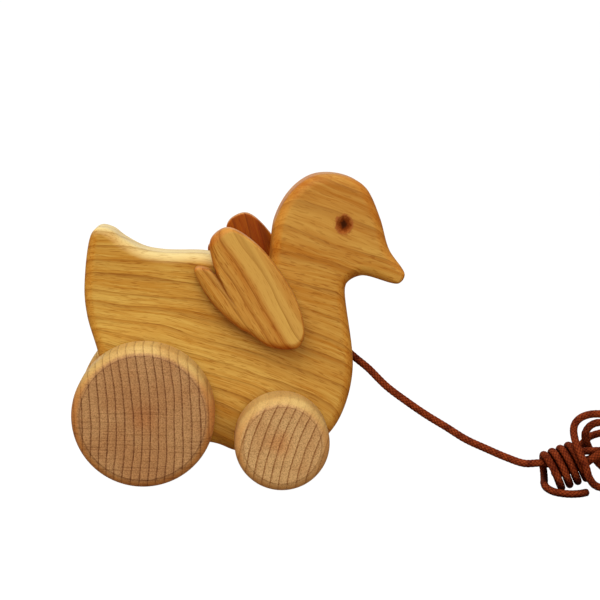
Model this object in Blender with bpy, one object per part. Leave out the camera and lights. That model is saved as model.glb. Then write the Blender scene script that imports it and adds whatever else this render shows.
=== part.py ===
"""Wooden pull toy: a bird sawn from one thick board, two turning wings, two pairs of wheels and a cord.

The bird looks along +X and stands on its wheels at z = 0. Its right side faces -Y.
"""

import math
from collections import namedtuple

import bmesh
import bpy
import numpy as np
from mathutils import Matrix, Vector

MM = 0.001

# Board of the bird
body_thick = 21.0 * MM
body_edge_round = 4.0 * MM
body_outline = np.array([
    (-50.3, 43.0), (-54.8, 57.4), (-56.0, 68.1), (-53.8, 86.9), (-51.3, 89.1), (-46.9, 88.4),
    (-42.8, 85.6), (-35.5, 82.0), (-28.2, 80.9), (-12.5, 80.9), (-5.8, 79.0), (5.2, 73.7),
    (8.8, 76.0), (11.2, 94.0), (16.6, 104.3), (23.6, 109.8), (30.9, 111.0), (38.3, 109.5),
    (43.4, 106.0), (48.6, 95.8), (52.3, 84.7), (58.1, 75.9), (56.0, 72.7), (42.7, 74.9),
    (38.0, 72.5), (37.1, 70.3), (41.1, 41.5), (38.5, 26.5), (33.8, 17.5), (25.2, 9.8),
    (12.2, 7.7), (-0.8, 9.9), (-7.8, 12.3), (-33.8, 14.0), (-41.8, 18.0), (-46.8, 25.5),
]) * MM

# Eye dimple on each side
eye_x = 35.5 * MM
eye_z = 93.25 * MM
eye_width = 5.6 * MM
eye_height = 6.6 * MM
eye_depth = 0.9 * MM
eye_cutter_depth = 2.2 * MM

# Wings
wing_thick = 8.0 * MM
wing_outer_round = 3.0 * MM
wing_upper_round = 1.0 * MM
wing_upper_way = math.radians(33.0)
wing_inner_round = 0.8 * MM
wing_pivot_x = 15.7 * MM
wing_pivot_z = 56.5 * MM
left_wing_lift = math.radians(11.0)
wing_outline = np.array([
    (-11.9, 85.3), (-10.4, 88.5), (-5.6, 91.1), (5.9, 84.5), (19.9, 65.4), (22.5, 54.1),
    (21.2, 50.2), (18.8, 48.8), (10.2, 49.5), (2.7, 54.2), (-0.2, 55.5), (-11.1, 65.1),
    (-16.9, 75.9), (-16.0, 77.0), (-12.2, 76.5), (-9.5, 74.8), (-10.4, 78.0),
]) * MM
crease_path = np.array([(-11.0, 77.4), (-9.0, 73.9), (-5.4, 68.2), (-1.5, 63.2)]) * MM
crease_width = 3.4 * MM
crease_depth = 1.5 * MM
crease_end_share = 0.08

# Dowels
pivot_radius = 3.0 * MM
pivot_in_wing = 5.0 * MM
pivot_in_body = 8.0 * MM
axle_radius = 3.0 * MM
axle_in_wheel = 12.0 * MM
dowel_chamfer = 0.5 * MM

# Wheels
rear_wheel_radius = 25.0 * MM
front_wheel_radius = 16.75 * MM
wheel_thick = 18.0 * MM
wheel_rim_round = 3.0 * MM
wheel_side_gap = 1.0 * MM
rear_axle_x = -33.1 * MM
front_axle_x = 15.75 * MM

# Cord
cord_diameter = 2.8 * MM
cord_exit = Vector((40.9, 0.0, 45.2)) * MM
cord_bore_slope = math.radians(39.0)
cord_bore_depth = 12.0 * MM
cord_straight_out = 2.5 * MM
lead_route = np.array([
    (47.1, -1.6, 40.5), (53.8, -3.4, 34.4), (61.1, -5.4, 29.4), (68.4, -7.3, 24.9),
    (75.6, -9.2, 21.0), (82.8, -11.1, 17.0), (90.0, -13.1, 14.2), (97.0, -15.2, 11.7),
]) * MM

# Hank: loops of the same cord, held by turns of its last stretch
hank_start = Vector((106.4, -17.4, 10.3)) * MM
hank_start_rise = math.radians(3.0)
bind_centre = Vector((113.1, -17.4, 7.3)) * MM
bind_tilt = math.radians(23.0)
bind_radius = 6.6 * MM
bind_pitch = 3.14 * MM
bind_first_turn = 3.70
bind_last_turn = -0.14
core_spread = 3.2 * MM
core_drop = 1.0 * MM
floor_height = 1.5 * MM
floor_ease = 2.0 * MM

# Places along the tilted bundle, measured from the first binding turn: along it, back and up, in millimetres
core_in = ((2.0, 0.0, 2.3), (6.0, 0.0, 2.2), (9.5, 0.0, 2.4), (13.0, 0.0, 2.8))
fold_turn = 4.4
fold_ends = (7.5, 11.0)
to_front_loop = ((11.0, -7.3, 7.0), (11.2, -9.8, 0.6), (11.0, -9.7, -4.5), (12.8, -8.8, -8.6))
to_binding = ((20.0, 12.2, 3.6), (16.2, 11.4, 2.6), (13.1, 9.1, 0.6))

# Loops of the hank: root along and up the bundle, depths, radii in millimetres, how much fuller the far end
# is than the near one, angles in degrees
Loop = namedtuple(
    "Loop", "along up start_depth end_depth long_radius cross_radius swell lean first last points")
front_small_loop = Loop(17.2, 0.3, 0.0, -3.4, 7.5, 10.6, 0.15, 80.0, 236.0, 452.0, 12)
front_large_loop = Loop(18.4, -0.4, -8.2, -4.7, 25.0, 12.0, 0.2, 2.0, 255.0, 496.0, 17)
back_small_loop = Loop(17.8, -1.2, 3.6, 5.0, 6.0, 6.8, 0.08, 66.0, 235.0, 466.0, 12)
back_large_loop = Loop(18.0, -1.0, 8.2, 12.0, 26.0, 12.0, 0.2, -5.0, 200.0, 484.0, 20)
tail_route = np.array([
    (111.6, -10.5, 8.0), (112.0, -10.9, 5.0), (111.6, -14.0, 3.4), (110.7, -18.4, 3.3), (110.9, -21.8, 2.5),
    (113.2, -24.5, 1.7), (117.8, -26.4, 1.5), (122.2, -25.5, 1.5), (125.0, -23.4, 1.5),
]) * MM

# Fits and fineness
fit_clearance = 0.3 * MM
tip_share = 0.78
outline_spacing = 2.7 * MM
least_steps = 4
edge_steps = 4
inner_edge_steps = 2
rear_wheel_steps = 48
front_wheel_steps = 40
rim_steps = 3
dowel_sides = 32
turn_points = 12
route_steps = 16
round_smoothing = 4
lead_spacing = 2.2 * cord_diameter
hank_spacing = 0.72 * cord_diameter


def clear_scene():
    for obj in list(bpy.data.objects):
        bpy.data.objects.remove(obj)


def add_object(name, data, location=(0.0, 0.0, 0.0)):
    obj = bpy.data.objects.new(name, data)
    obj.location = location
    bpy.context.scene.collection.objects.link(obj)
    return obj


def finish(obj, colour, roughness):
    """Gives the piece a material of its own."""
    material = bpy.data.materials.new(obj.name)
    material.use_nodes = True
    shader = material.node_tree.nodes["Principled BSDF"]
    shader.inputs["Base Color"].default_value = (*colour, 1.0)
    shader.inputs["Roughness"].default_value = roughness
    obj.data.materials.append(material)
    return obj


def mesh_from(name, bm):
    bmesh.ops.recalc_face_normals(bm, faces=bm.faces)
    mesh = bpy.data.meshes.new(name)
    bm.to_mesh(mesh)
    bm.free()
    return mesh


def smooth_span(four, count):
    """Points from the second to the third of four points, on a centripetal curve through all of them."""
    knots = [0.0]
    for k in range(3):
        knots.append(knots[-1] + math.sqrt(np.linalg.norm(four[k + 1] - four[k])))
    points = []
    for t in np.linspace(knots[1], knots[2], count, endpoint=False):
        row = list(four)
        for level in (1, 2, 3):
            reach = level if level < 3 else 1
            first = 0 if level < 3 else 1
            row = [
                ((knots[first + k + reach] - t) * row[k] + (t - knots[first + k]) * row[k + 1])
                / (knots[first + k + reach] - knots[first + k])
                for k in range(len(row) - 1)
            ]
        points.append(row[0])
    return points


def closed_curve(points, spacing):
    """A smooth closed line through the points, with at least a few steps in each span."""
    count = len(points)
    line = []
    for i in range(count):
        four = [points[(i + k) % count] for k in (-1, 0, 1, 2)]
        steps = max(least_steps, math.ceil(np.linalg.norm(four[2] - four[1]) / spacing))
        line += smooth_span(four, steps)
    return np.array(line)


def open_curve(points, spacing):
    """A smooth open line through the points, read off again at equal steps."""
    points = np.asarray(points)
    ends = [2.0 * points[0] - points[1], *points, 2.0 * points[-1] - points[-2]]
    line = []
    for i in range(len(points) - 1):
        line += smooth_span(ends[i:i + 4], route_steps)
    line = np.array([*line, points[-1]])
    run = np.concatenate([[0.0], np.cumsum(np.linalg.norm(np.diff(line, axis=0), axis=1))])
    wanted = np.linspace(0.0, run[-1], max(2, round(run[-1] / spacing) + 1))
    return np.stack([np.interp(wanted, run, line[:, k]) for k in range(3)], axis=1)


def inward(line):
    """Unit normals that point into the board, for a line that runs clockwise seen from the right side."""
    along = np.roll(line, -1, axis=0) - np.roll(line, 1, axis=0)
    normal = np.stack([along[:, 1], -along[:, 0]], axis=1)
    return normal / np.linalg.norm(normal, axis=1)[:, None]


def room(line, normal):
    """Radius of the largest circle inside the line that touches it at each point."""
    radii = np.empty(len(line))
    for i, point in enumerate(line):
        away = line - point
        depth = away @ normal[i]
        facing = depth > 1e-9
        radii[i] = np.min((away[facing] ** 2).sum(axis=1) / (2.0 * depth[facing]))
    return radii


def rounding(line, normal, wish):
    """The rounding at each point: the wished one, or less where the board runs to a tip."""
    radius = np.minimum(wish, tip_share * room(line, normal))
    for _ in range(round_smoothing):
        mean = 0.25 * np.roll(radius, 1) + 0.5 * radius + 0.25 * np.roll(radius, -1)
        radius = np.minimum(radius, mean)
    return radius


def board(name, line, faces, rounds, steps, origin=(0.0, 0.0, 0.0)):
    """A flat board with this outline in x and z, its two faces at these y and each edge rounded."""
    normal = inward(line)
    rings = []
    for face, wish, count, order in zip(faces, rounds, steps, (1, -1)):
        radius = rounding(line, normal, wish)
        into = math.copysign(1.0, faces[0] + faces[1] - 2.0 * face)
        side = []
        for k in range(count + 1):
            turn = 0.5 * math.pi * k / count
            flat = line + normal * (radius * (1.0 - math.sin(turn)))[:, None]
            y = face + into * radius * (1.0 - math.cos(turn))
            side.append(np.stack([flat[:, 0], y, flat[:, 1]], axis=1))
        rings += side[::order]
    bm = bmesh.new()
    loops = [[bm.verts.new(Vector(p) - Vector(origin)) for p in ring] for ring in rings]
    bm.faces.new(loops[0])
    bm.faces.new(loops[-1])
    for one, two in zip(loops, loops[1:]):
        for i in range(len(one)):
            bm.faces.new((one[i - 1], one[i], two[i], two[i - 1]))
    return add_object(name, mesh_from(name, bm), origin)


def cut(target, cutter):
    """Takes the cutter's shape out of the target. The cutter lies in the target's own frame."""
    cutter.parent = target
    cutter.hide_render = True
    cutter.display_type = "WIRE"
    modifier = target.modifiers.new(cutter.name, "BOOLEAN")
    modifier.operation = "DIFFERENCE"
    modifier.solver = "EXACT"
    modifier.object = cutter


def bore(target, name, start, end, radius):
    """A round hole from one point to another, in the target's own frame."""
    start = Vector(start)
    axis = Vector(end) - start
    bm = bmesh.new()
    place = Matrix.Translation(start + axis / 2.0) @ axis.to_track_quat("Z", "Y").to_matrix().to_4x4()
    bmesh.ops.create_cone(bm, cap_ends=True, segments=dowel_sides, radius1=radius, radius2=radius,
                          depth=axis.length, matrix=place)
    cut(target, add_object(name, mesh_from(name, bm)))


def eye_dimple(target, name, side):
    """A shallow oval hollow. The cutter is an egg shape that stands mostly outside the face."""
    stand_off = eye_cutter_depth - eye_depth
    share = math.sqrt(1.0 - (stand_off / eye_cutter_depth) ** 2)
    size = (eye_width / 2.0 / share, eye_cutter_depth, eye_height / 2.0 / share)
    centre = (eye_x, side * (body_thick / 2.0 + stand_off), eye_z)
    bm = bmesh.new()
    place = Matrix.Translation(centre) @ Matrix.Diagonal((*size, 1.0))
    bmesh.ops.create_uvsphere(bm, u_segments=24, v_segments=16, radius=1.0, matrix=place)
    cut(target, add_object(name, mesh_from(name, bm)))


def dowel(name, radius, start_y, end_y, x, z):
    """A round rod across the toy with a small chamfer at both ends."""
    bm = bmesh.new()
    bmesh.ops.create_cone(bm, cap_ends=True, segments=dowel_sides, radius1=radius, radius2=radius,
                          depth=abs(end_y - start_y))
    obj = add_object(name, mesh_from(name, bm), (x, (start_y + end_y) / 2.0, z))
    obj.rotation_euler = (math.pi / 2.0, 0.0, 0.0)
    chamfer = obj.modifiers.new("end chamfer", "BEVEL")
    chamfer.width = dowel_chamfer
    chamfer.segments = 1
    chamfer.limit_method = "ANGLE"
    chamfer.angle_limit = math.radians(60.0)
    return obj


def wheel(name, radius, x, side, steps):
    """A turned wheel: plain outer face, rounded rims, a blind bore on the inner face."""
    bore_radius = axle_radius + fit_clearance
    bore_top = axle_in_wheel + fit_clearance
    profile = [(0.0, wheel_thick)]
    for middle, start in ((wheel_thick - wheel_rim_round, 90.0), (wheel_rim_round, 0.0)):
        for k in range(rim_steps + 1):
            turn = math.radians(start - 90.0 * k / rim_steps)
            profile.append((radius - wheel_rim_round * (1.0 - math.cos(turn)),
                            middle + wheel_rim_round * math.sin(turn)))
    profile += [(bore_radius, 0.0), (bore_radius, bore_top), (0.0, bore_top)]
    mesh = bpy.data.meshes.new(name)
    mesh.from_pydata([(r, 0.0, h) for r, h in profile], [(i, i + 1) for i in range(len(profile) - 1)], [])
    obj = add_object(name, mesh, (x, side * (body_thick / 2.0 + wheel_side_gap), radius))
    obj.rotation_euler = (-side * math.pi / 2.0, 0.0, 0.0)
    lathe = obj.modifiers.new("lathe", "SCREW")
    lathe.steps = steps
    lathe.render_steps = steps
    lathe.use_merge_vertices = True
    lathe.merge_threshold = 0.01 * MM
    return obj


def axle(name, x, z):
    reach = body_thick / 2.0 + wheel_side_gap + axle_in_wheel
    return dowel(name, axle_radius, -reach, reach, x, z)


def make_body():
    half = body_thick / 2.0
    line = closed_curve(body_outline, outline_spacing)
    body = board("chick_body", line, (-half, half), (body_edge_round,) * 2, (edge_steps,) * 2)
    through = body_thick
    for name, x, z in (("rear_axle_bore", rear_axle_x, rear_wheel_radius),
                       ("front_axle_bore", front_axle_x, front_wheel_radius)):
        bore(body, name, (x, -through, z), (x, through, z), axle_radius + fit_clearance)
    for side, name in ((-1.0, "right"), (1.0, "left")):
        blind_end = side * (half - pivot_in_body - fit_clearance)
        bore(body, name + "_pivot_bore", (wing_pivot_x, blind_end, wing_pivot_z),
             (wing_pivot_x, side * through, wing_pivot_z), pivot_radius + fit_clearance)
        eye_dimple(body, name + "_eye_dimple", side)
    slope = cord_direction()
    bore(body, "cord_bore", cord_exit - slope * cord_bore_depth, cord_exit + slope * cord_bore_depth,
         cord_diameter / 2.0 + fit_clearance)
    return finish(body, (0.56, 0.27, 0.08), 0.45)


def crease(wing, name, face_y, side):
    """A groove from the notch between the lobes, narrower and shallower as it runs on."""
    flat = np.zeros(len(crease_path))
    path = open_curve(np.stack([crease_path[:, 0], flat, crease_path[:, 1]], axis=1), outline_spacing)
    along = np.gradient(path, axis=0)
    across = np.stack([along[:, 2], 0.0 * along[:, 0], -along[:, 0]], axis=1)
    across /= np.linalg.norm(across, axis=1)[:, None]
    origin = np.array((wing_pivot_x, 0.0, wing_pivot_z))
    bm = bmesh.new()
    sections = []
    for point, normal, share in zip(path, across, np.linspace(1.0, crease_end_share, len(path))):
        top = np.array((0.0, face_y + side * crease_depth, 0.0))
        bottom = np.array((0.0, face_y - side * crease_depth * share, 0.0))
        reach = normal * crease_width * share
        corners = (point + top - reach, point + top + reach, point + bottom)
        sections.append([bm.verts.new(Vector(corner - origin)) for corner in corners])
    bm.faces.new(sections[0])
    bm.faces.new(sections[-1])
    for one, two in zip(sections, sections[1:]):
        for k in range(3):
            bm.faces.new((one[k - 1], one[k], two[k], two[k - 1]))
    cut(wing, add_object(name, mesh_from(name, bm)))


def wing_rounding(line):
    """The rounding wished along a wing's outer edge: full, but small where it faces up and forward."""
    facing = inward(line) @ -np.array((math.cos(wing_upper_way), math.sin(wing_upper_way)))
    return np.interp(facing, (0.3, 0.85), (wing_outer_round, wing_upper_round))


def make_wing(name, side, lift):
    inner = side * (body_thick / 2.0 + fit_clearance)
    outer = inner + side * wing_thick
    line = closed_curve(wing_outline, outline_spacing)
    origin = (wing_pivot_x, 0.0, wing_pivot_z)
    wing = board(name, line, (inner, outer), (wing_inner_round, wing_rounding(line)),
                 (inner_edge_steps, edge_steps), origin)
    bore(wing, name + "_bore", (0.0, inner - side * wing_thick, 0.0),
         (0.0, inner + side * (pivot_in_wing + fit_clearance), 0.0), pivot_radius + fit_clearance)
    crease(wing, name + "_crease", outer, side)
    wing.rotation_euler = (0.0, lift, 0.0)
    finish(wing, (0.58, 0.29, 0.09), 0.45)
    pivot = dowel(name + "_pivot", pivot_radius, side * (body_thick / 2.0 - pivot_in_body),
                  inner + side * pivot_in_wing, wing_pivot_x, wing_pivot_z)
    finish(pivot, (0.62, 0.43, 0.24), 0.6)


def make_wheels():
    for place, x, radius, steps in (("rear", rear_axle_x, rear_wheel_radius, rear_wheel_steps),
                                    ("front", front_axle_x, front_wheel_radius, front_wheel_steps)):
        finish(axle(place + "_axle", x, radius), (0.62, 0.43, 0.24), 0.6)
        finish(wheel(place + "_wheel_right", radius, x, -1.0, steps), (0.55, 0.30, 0.16), 0.5)
        finish(wheel(place + "_wheel_left", radius, x, 1.0, steps), (0.55, 0.30, 0.16), 0.5)


def cord_direction():
    return Vector((math.cos(cord_bore_slope), 0.0, -math.sin(cord_bore_slope)))


def cord_tube(name, points, resolution):
    curve = bpy.data.curves.new(name, "CURVE")
    curve.dimensions = "3D"
    curve.bevel_depth = cord_diameter / 2.0
    curve.bevel_resolution = resolution
    curve.use_fill_caps = True
    spline = curve.splines.new("POLY")
    spline.points.add(len(points) - 1)
    for knot, point in zip(spline.points, points):
        knot.co = (*point, 1.0)
    return finish(add_object(name, curve), (0.17, 0.05, 0.02), 0.8)


def length_of(points):
    return float(np.linalg.norm(np.diff(np.asarray(points), axis=0), axis=1).sum())


def least_gap(points):
    """The least space between stretches of the tube that lie more than a few diameters apart along it."""
    points = np.asarray(points)
    run = np.concatenate([[0.0], np.cumsum(np.linalg.norm(np.diff(points, axis=0), axis=1))])
    least = np.inf
    for i, point in enumerate(points):
        far = np.abs(run - run[i]) > 2.2 * cord_diameter
        least = min(least, np.linalg.norm(points[far] - point, axis=1).min())
    return least - cord_diameter


def bind_point(along, back, up):
    """A point of the hank from its place along the tilted bundle, in millimetres."""
    axis = Vector((math.cos(bind_tilt), 0.0, math.sin(bind_tilt)))
    rise = Vector((-math.sin(bind_tilt), 0.0, math.cos(bind_tilt)))
    return np.array(bind_centre + (axis * along + Vector((0.0, back, 0.0)) + rise * up) * MM)


def loop_points(loop):
    """One loop, fuller at its far end, that starts and ends near its root as its depth eases over."""
    root = bind_point(loop.along, 0.0, loop.up)
    lean = math.radians(loop.lean)
    points = []
    for part in np.linspace(0.0, 1.0, loop.points):
        angle = math.radians(loop.first + (loop.last - loop.first) * part)
        out = loop.long_radius * (1.0 + math.cos(angle))
        across = loop.cross_radius * math.sin(angle) * (1.0 + loop.swell * math.cos(angle))
        ease = part * part * (3.0 - 2.0 * part)
        point = root + MM * np.array((out * math.cos(lean) - across * math.sin(lean),
                                      loop.start_depth + (loop.end_depth - loop.start_depth) * ease,
                                      out * math.sin(lean) + across * math.cos(lean)))
        above = point[2] - floor_height
        point[2] = floor_height + (above + math.hypot(above, floor_ease)) / 2.0
        points.append(point)
    return points


def fold_points():
    """Back through the binding on one side, round, and out again on the other."""
    spread = core_spread / MM
    drop = core_drop / MM
    points = [bind_point(along, -spread, -drop) for along in reversed(fold_ends)]
    for angle in np.linspace(-math.pi / 2.0, math.pi / 2.0, turn_points // 2 + 1):
        points.append(bind_point(fold_turn - spread * math.cos(angle), spread * math.sin(angle), -drop))
    return points + [bind_point(along, spread, -drop) for along in fold_ends]


def binding_points():
    """The turns that hold the bundle, from the loops back to the side where the lead comes in."""
    count = round((bind_first_turn - bind_last_turn) * turn_points)
    radius = bind_radius / MM
    points = []
    for turn in np.linspace(bind_first_turn, bind_last_turn, count):
        angle = 2.0 * math.pi * turn
        points.append(bind_point(bind_pitch / MM * turn, -radius * math.sin(angle), radius * math.cos(angle)))
    return points


def hank_points():
    """In through the binding, two loops, the fold, two more loops, the binding turns and the tail."""
    ahead = Vector((math.cos(hank_start_rise), 0.0, math.sin(hank_start_rise)))
    route = [np.array(hank_start + ahead * cord_diameter)]
    route += [bind_point(*place) for place in core_in]
    route += loop_points(front_small_loop)
    route += [bind_point(*place) for place in to_front_loop]
    route += loop_points(front_large_loop)
    route += fold_points()
    route += loop_points(back_small_loop) + loop_points(back_large_loop)
    route += [bind_point(*place) for place in to_binding]
    route += binding_points()
    route += list(tail_route)
    return np.array([hank_start, *open_curve(route, hank_spacing)])


def lead_points():
    """From the blind end of the chest bore, straight out, then in one sagging sweep to the hank."""
    slope = cord_direction()
    ahead = Vector((math.cos(hank_start_rise), 0.0, math.sin(hank_start_rise)))
    inside = cord_exit - slope * (cord_bore_depth - fit_clearance)
    outside = cord_exit + slope * cord_straight_out
    end = hank_start - ahead * fit_clearance
    route = [np.array(outside), *lead_route, np.array(end - ahead * cord_diameter)]
    return np.array([inside, *open_curve(route, lead_spacing), end])


def main():
    clear_scene()
    make_body()
    make_wing("right_wing", -1.0, 0.0)
    make_wing("left_wing", 1.0, left_wing_lift)
    make_wheels()
    lead = lead_points()
    hank = hank_points()
    cord_tube("pull_cord_lead", lead, 2)
    cord_tube("pull_cord_hank", hank, 1)
    print(f"lead {length_of(lead) / MM:.1f} mm, {len(lead)} points")
    print(f"hank {length_of(hank) / MM:.1f} mm, {len(hank)} points, least gap {least_gap(hank) / MM:.2f} mm")


main()
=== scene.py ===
"""A wooden pull toy: a bird sawn from one oiled board, two turning wings, beech wheels and a braided cord.

The bird looks along +X and stands on its wheels at z = 0. Its right side faces -Y, towards the camera.
"""

import logging
import math
from collections.abc import Sequence
from dataclasses import dataclass
from enum import Enum
from functools import reduce
from typing import ClassVar

import bmesh
import bpy
import numpy as np
from mathutils import Matrix, Vector


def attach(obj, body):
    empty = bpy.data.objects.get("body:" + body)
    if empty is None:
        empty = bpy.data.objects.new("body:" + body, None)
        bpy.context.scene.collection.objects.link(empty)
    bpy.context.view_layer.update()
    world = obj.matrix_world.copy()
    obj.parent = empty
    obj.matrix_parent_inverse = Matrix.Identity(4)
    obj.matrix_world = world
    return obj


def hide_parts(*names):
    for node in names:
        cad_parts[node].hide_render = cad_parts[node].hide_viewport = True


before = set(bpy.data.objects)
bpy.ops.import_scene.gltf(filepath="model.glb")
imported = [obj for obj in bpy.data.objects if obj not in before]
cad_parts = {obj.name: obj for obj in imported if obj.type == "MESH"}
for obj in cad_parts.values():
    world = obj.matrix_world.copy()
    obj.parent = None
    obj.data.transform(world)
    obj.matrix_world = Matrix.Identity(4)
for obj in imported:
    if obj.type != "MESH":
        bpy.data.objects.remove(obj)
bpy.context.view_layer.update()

MM = 0.001
WIDTH = (0.0, 1.0, 0.0)
UP = (0.0, 0.0, 1.0)

Span = tuple[float, float]
Spot = tuple[float, float]
Triple = tuple[float, float, float]
Colour = Triple
Socket = bpy.types.NodeSocket
Feed = Socket | float | Sequence[float]

log = logging.getLogger("pull_toy")


class Side(Enum):
    """The two sides of the toy, with the sign of their y."""

    RIGHT = -1
    LEFT = 1

    @property
    def word(self) -> str:
        """The side's name as it stands in the names of pieces."""
        return self.name.lower()


class Pair(Enum):
    """The two pairs of wheels."""

    REAR = "rear"
    FRONT = "front"


# Lines


class SmoothLine:
    """Centripetal curves through a few chosen points."""

    LEAST_STEPS = 4
    ROUTE_STEPS = 16

    @staticmethod
    def span(four: Sequence[np.ndarray], count: int) -> list[np.ndarray]:
        """Points from the second to the third of four points.

        Args:
            four: Four neighbouring points of the route.
            count: How many points to give, without the last.

        Returns:
            The points on the curve.
        """
        knots = [0.0]
        for k in range(3):
            knots.append(knots[-1] + math.sqrt(np.linalg.norm(four[k + 1] - four[k])))
        points = []
        for t in np.linspace(knots[1], knots[2], count, endpoint=False):
            row = list(four)
            for level in (1, 2, 3):
                reach = level if level < 3 else 1
                first = 0 if level < 3 else 1
                row = [
                    ((knots[first + k + reach] - t) * row[k] + (t - knots[first + k]) * row[k + 1])
                    / (knots[first + k + reach] - knots[first + k])
                    for k in range(len(row) - 1)
                ]
            points.append(row[0])
        return points

    @classmethod
    def closed(cls, points: np.ndarray, spacing: float) -> np.ndarray:
        """A closed line through the points.

        Args:
            points: The corners of the outline.
            spacing: The longest step between two points of the line.

        Returns:
            The points of the line, in order.
        """
        count = len(points)
        line: list[np.ndarray] = []
        for i in range(count):
            four = [points[(i + k) % count] for k in (-1, 0, 1, 2)]
            steps = max(cls.LEAST_STEPS, math.ceil(np.linalg.norm(four[2] - four[1]) / spacing))
            line += cls.span(four, steps)
        return np.array(line)

    @classmethod
    def open(cls, points: Sequence[np.ndarray], spacing: float) -> np.ndarray:
        """An open line through the points, read off at equal steps.

        Args:
            points: The points of the route.
            spacing: The step along the line.

        Returns:
            The points of the line, with both ends.
        """
        points = np.asarray(points)
        ends = [2.0 * points[0] - points[1], *points, 2.0 * points[-1] - points[-2]]
        line: list[np.ndarray] = []
        for i in range(len(points) - 1):
            line += cls.span(ends[i:i + 4], cls.ROUTE_STEPS)
        fine = np.array([*line, points[-1]])
        run = cls.run(fine)
        wanted = np.linspace(0.0, run[-1], max(2, round(run[-1] / spacing) + 1))
        return np.stack([np.interp(wanted, run, fine[:, k]) for k in range(fine.shape[1])], axis=1)

    @staticmethod
    def run(points: np.ndarray) -> np.ndarray:
        """The length along the line up to each of its points."""
        return np.concatenate([[0.0], np.cumsum(np.linalg.norm(np.diff(points, axis=0), axis=1))])


@dataclass
class BoardEdge:
    """The outline of a board in x and z, and the rounding that its edge has room for.

    Attributes:
        line: The points of the outline.
        tip_share: How much of the room at a tip the rounding may take.
        smoothing: How many times the rounding is evened out along the outline.
    """

    LEAST_DEPTH: ClassVar[float] = 1e-9

    line: np.ndarray
    tip_share: float = 0.78
    smoothing: int = 30

    def inward(self) -> np.ndarray:
        """Unit normals that point into the board.

        Returns:
            A normal for each point of the outline.
        """
        along = np.roll(self.line, -1, axis=0) - np.roll(self.line, 1, axis=0)
        normal = np.stack([along[:, 1], -along[:, 0]], axis=1)
        return normal / np.linalg.norm(normal, axis=1)[:, None]

    def room(self, normal: np.ndarray) -> np.ndarray:
        """The largest circle inside the outline that touches it at each point.

        Args:
            normal: The inward normals of the outline.

        Returns:
            The radius of each circle.
        """
        radii = np.empty(len(self.line))
        for i, point in enumerate(self.line):
            away = self.line - point
            depth = away @ normal[i]
            facing = depth > self.LEAST_DEPTH
            radii[i] = np.min((away[facing] ** 2).sum(axis=1) / (2.0 * depth[facing]))
        return radii

    def rounding(self, wish: float | np.ndarray) -> np.ndarray:
        """The wished rounding at each point, or less where the board runs to a tip.

        Args:
            wish: The rounding wished, for all points or for each.

        Returns:
            The radius of the rounding at each point.
        """
        radius = np.minimum(wish, self.tip_share * self.room(self.inward()))
        for _ in range(self.smoothing):
            mean = 0.25 * np.roll(radius, 1) + 0.5 * radius + 0.25 * np.roll(radius, -1)
            radius = np.minimum(radius, mean)
        return radius

    def rings(self, faces: Span, rounds: tuple[float | np.ndarray, float | np.ndarray],
              steps: int) -> list[np.ndarray]:
        """Closed rings from one face of the board round its edge to the other.

        Args:
            faces: The y of the two faces.
            rounds: The rounding wished at each face.
            steps: How many steps a rounding has.

        Returns:
            The rings, each with a point for every point of the outline.
        """
        normal = self.inward()
        rings: list[np.ndarray] = []
        for face, wish, order in zip(faces, rounds, (1, -1)):
            radius = self.rounding(wish)
            into = math.copysign(1.0, faces[0] + faces[1] - 2.0 * face)
            side = []
            for k in range(steps + 1):
                turn = 0.5 * math.pi * k / steps
                flat = self.line + normal * (radius * (1.0 - math.sin(turn)))[:, None]
                depth = face + into * radius * (1.0 - math.cos(turn))
                side.append(np.stack([flat[:, 0], depth, flat[:, 1]], axis=1))
            rings += side[::order]
        return rings


# Steps at the bench


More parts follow.
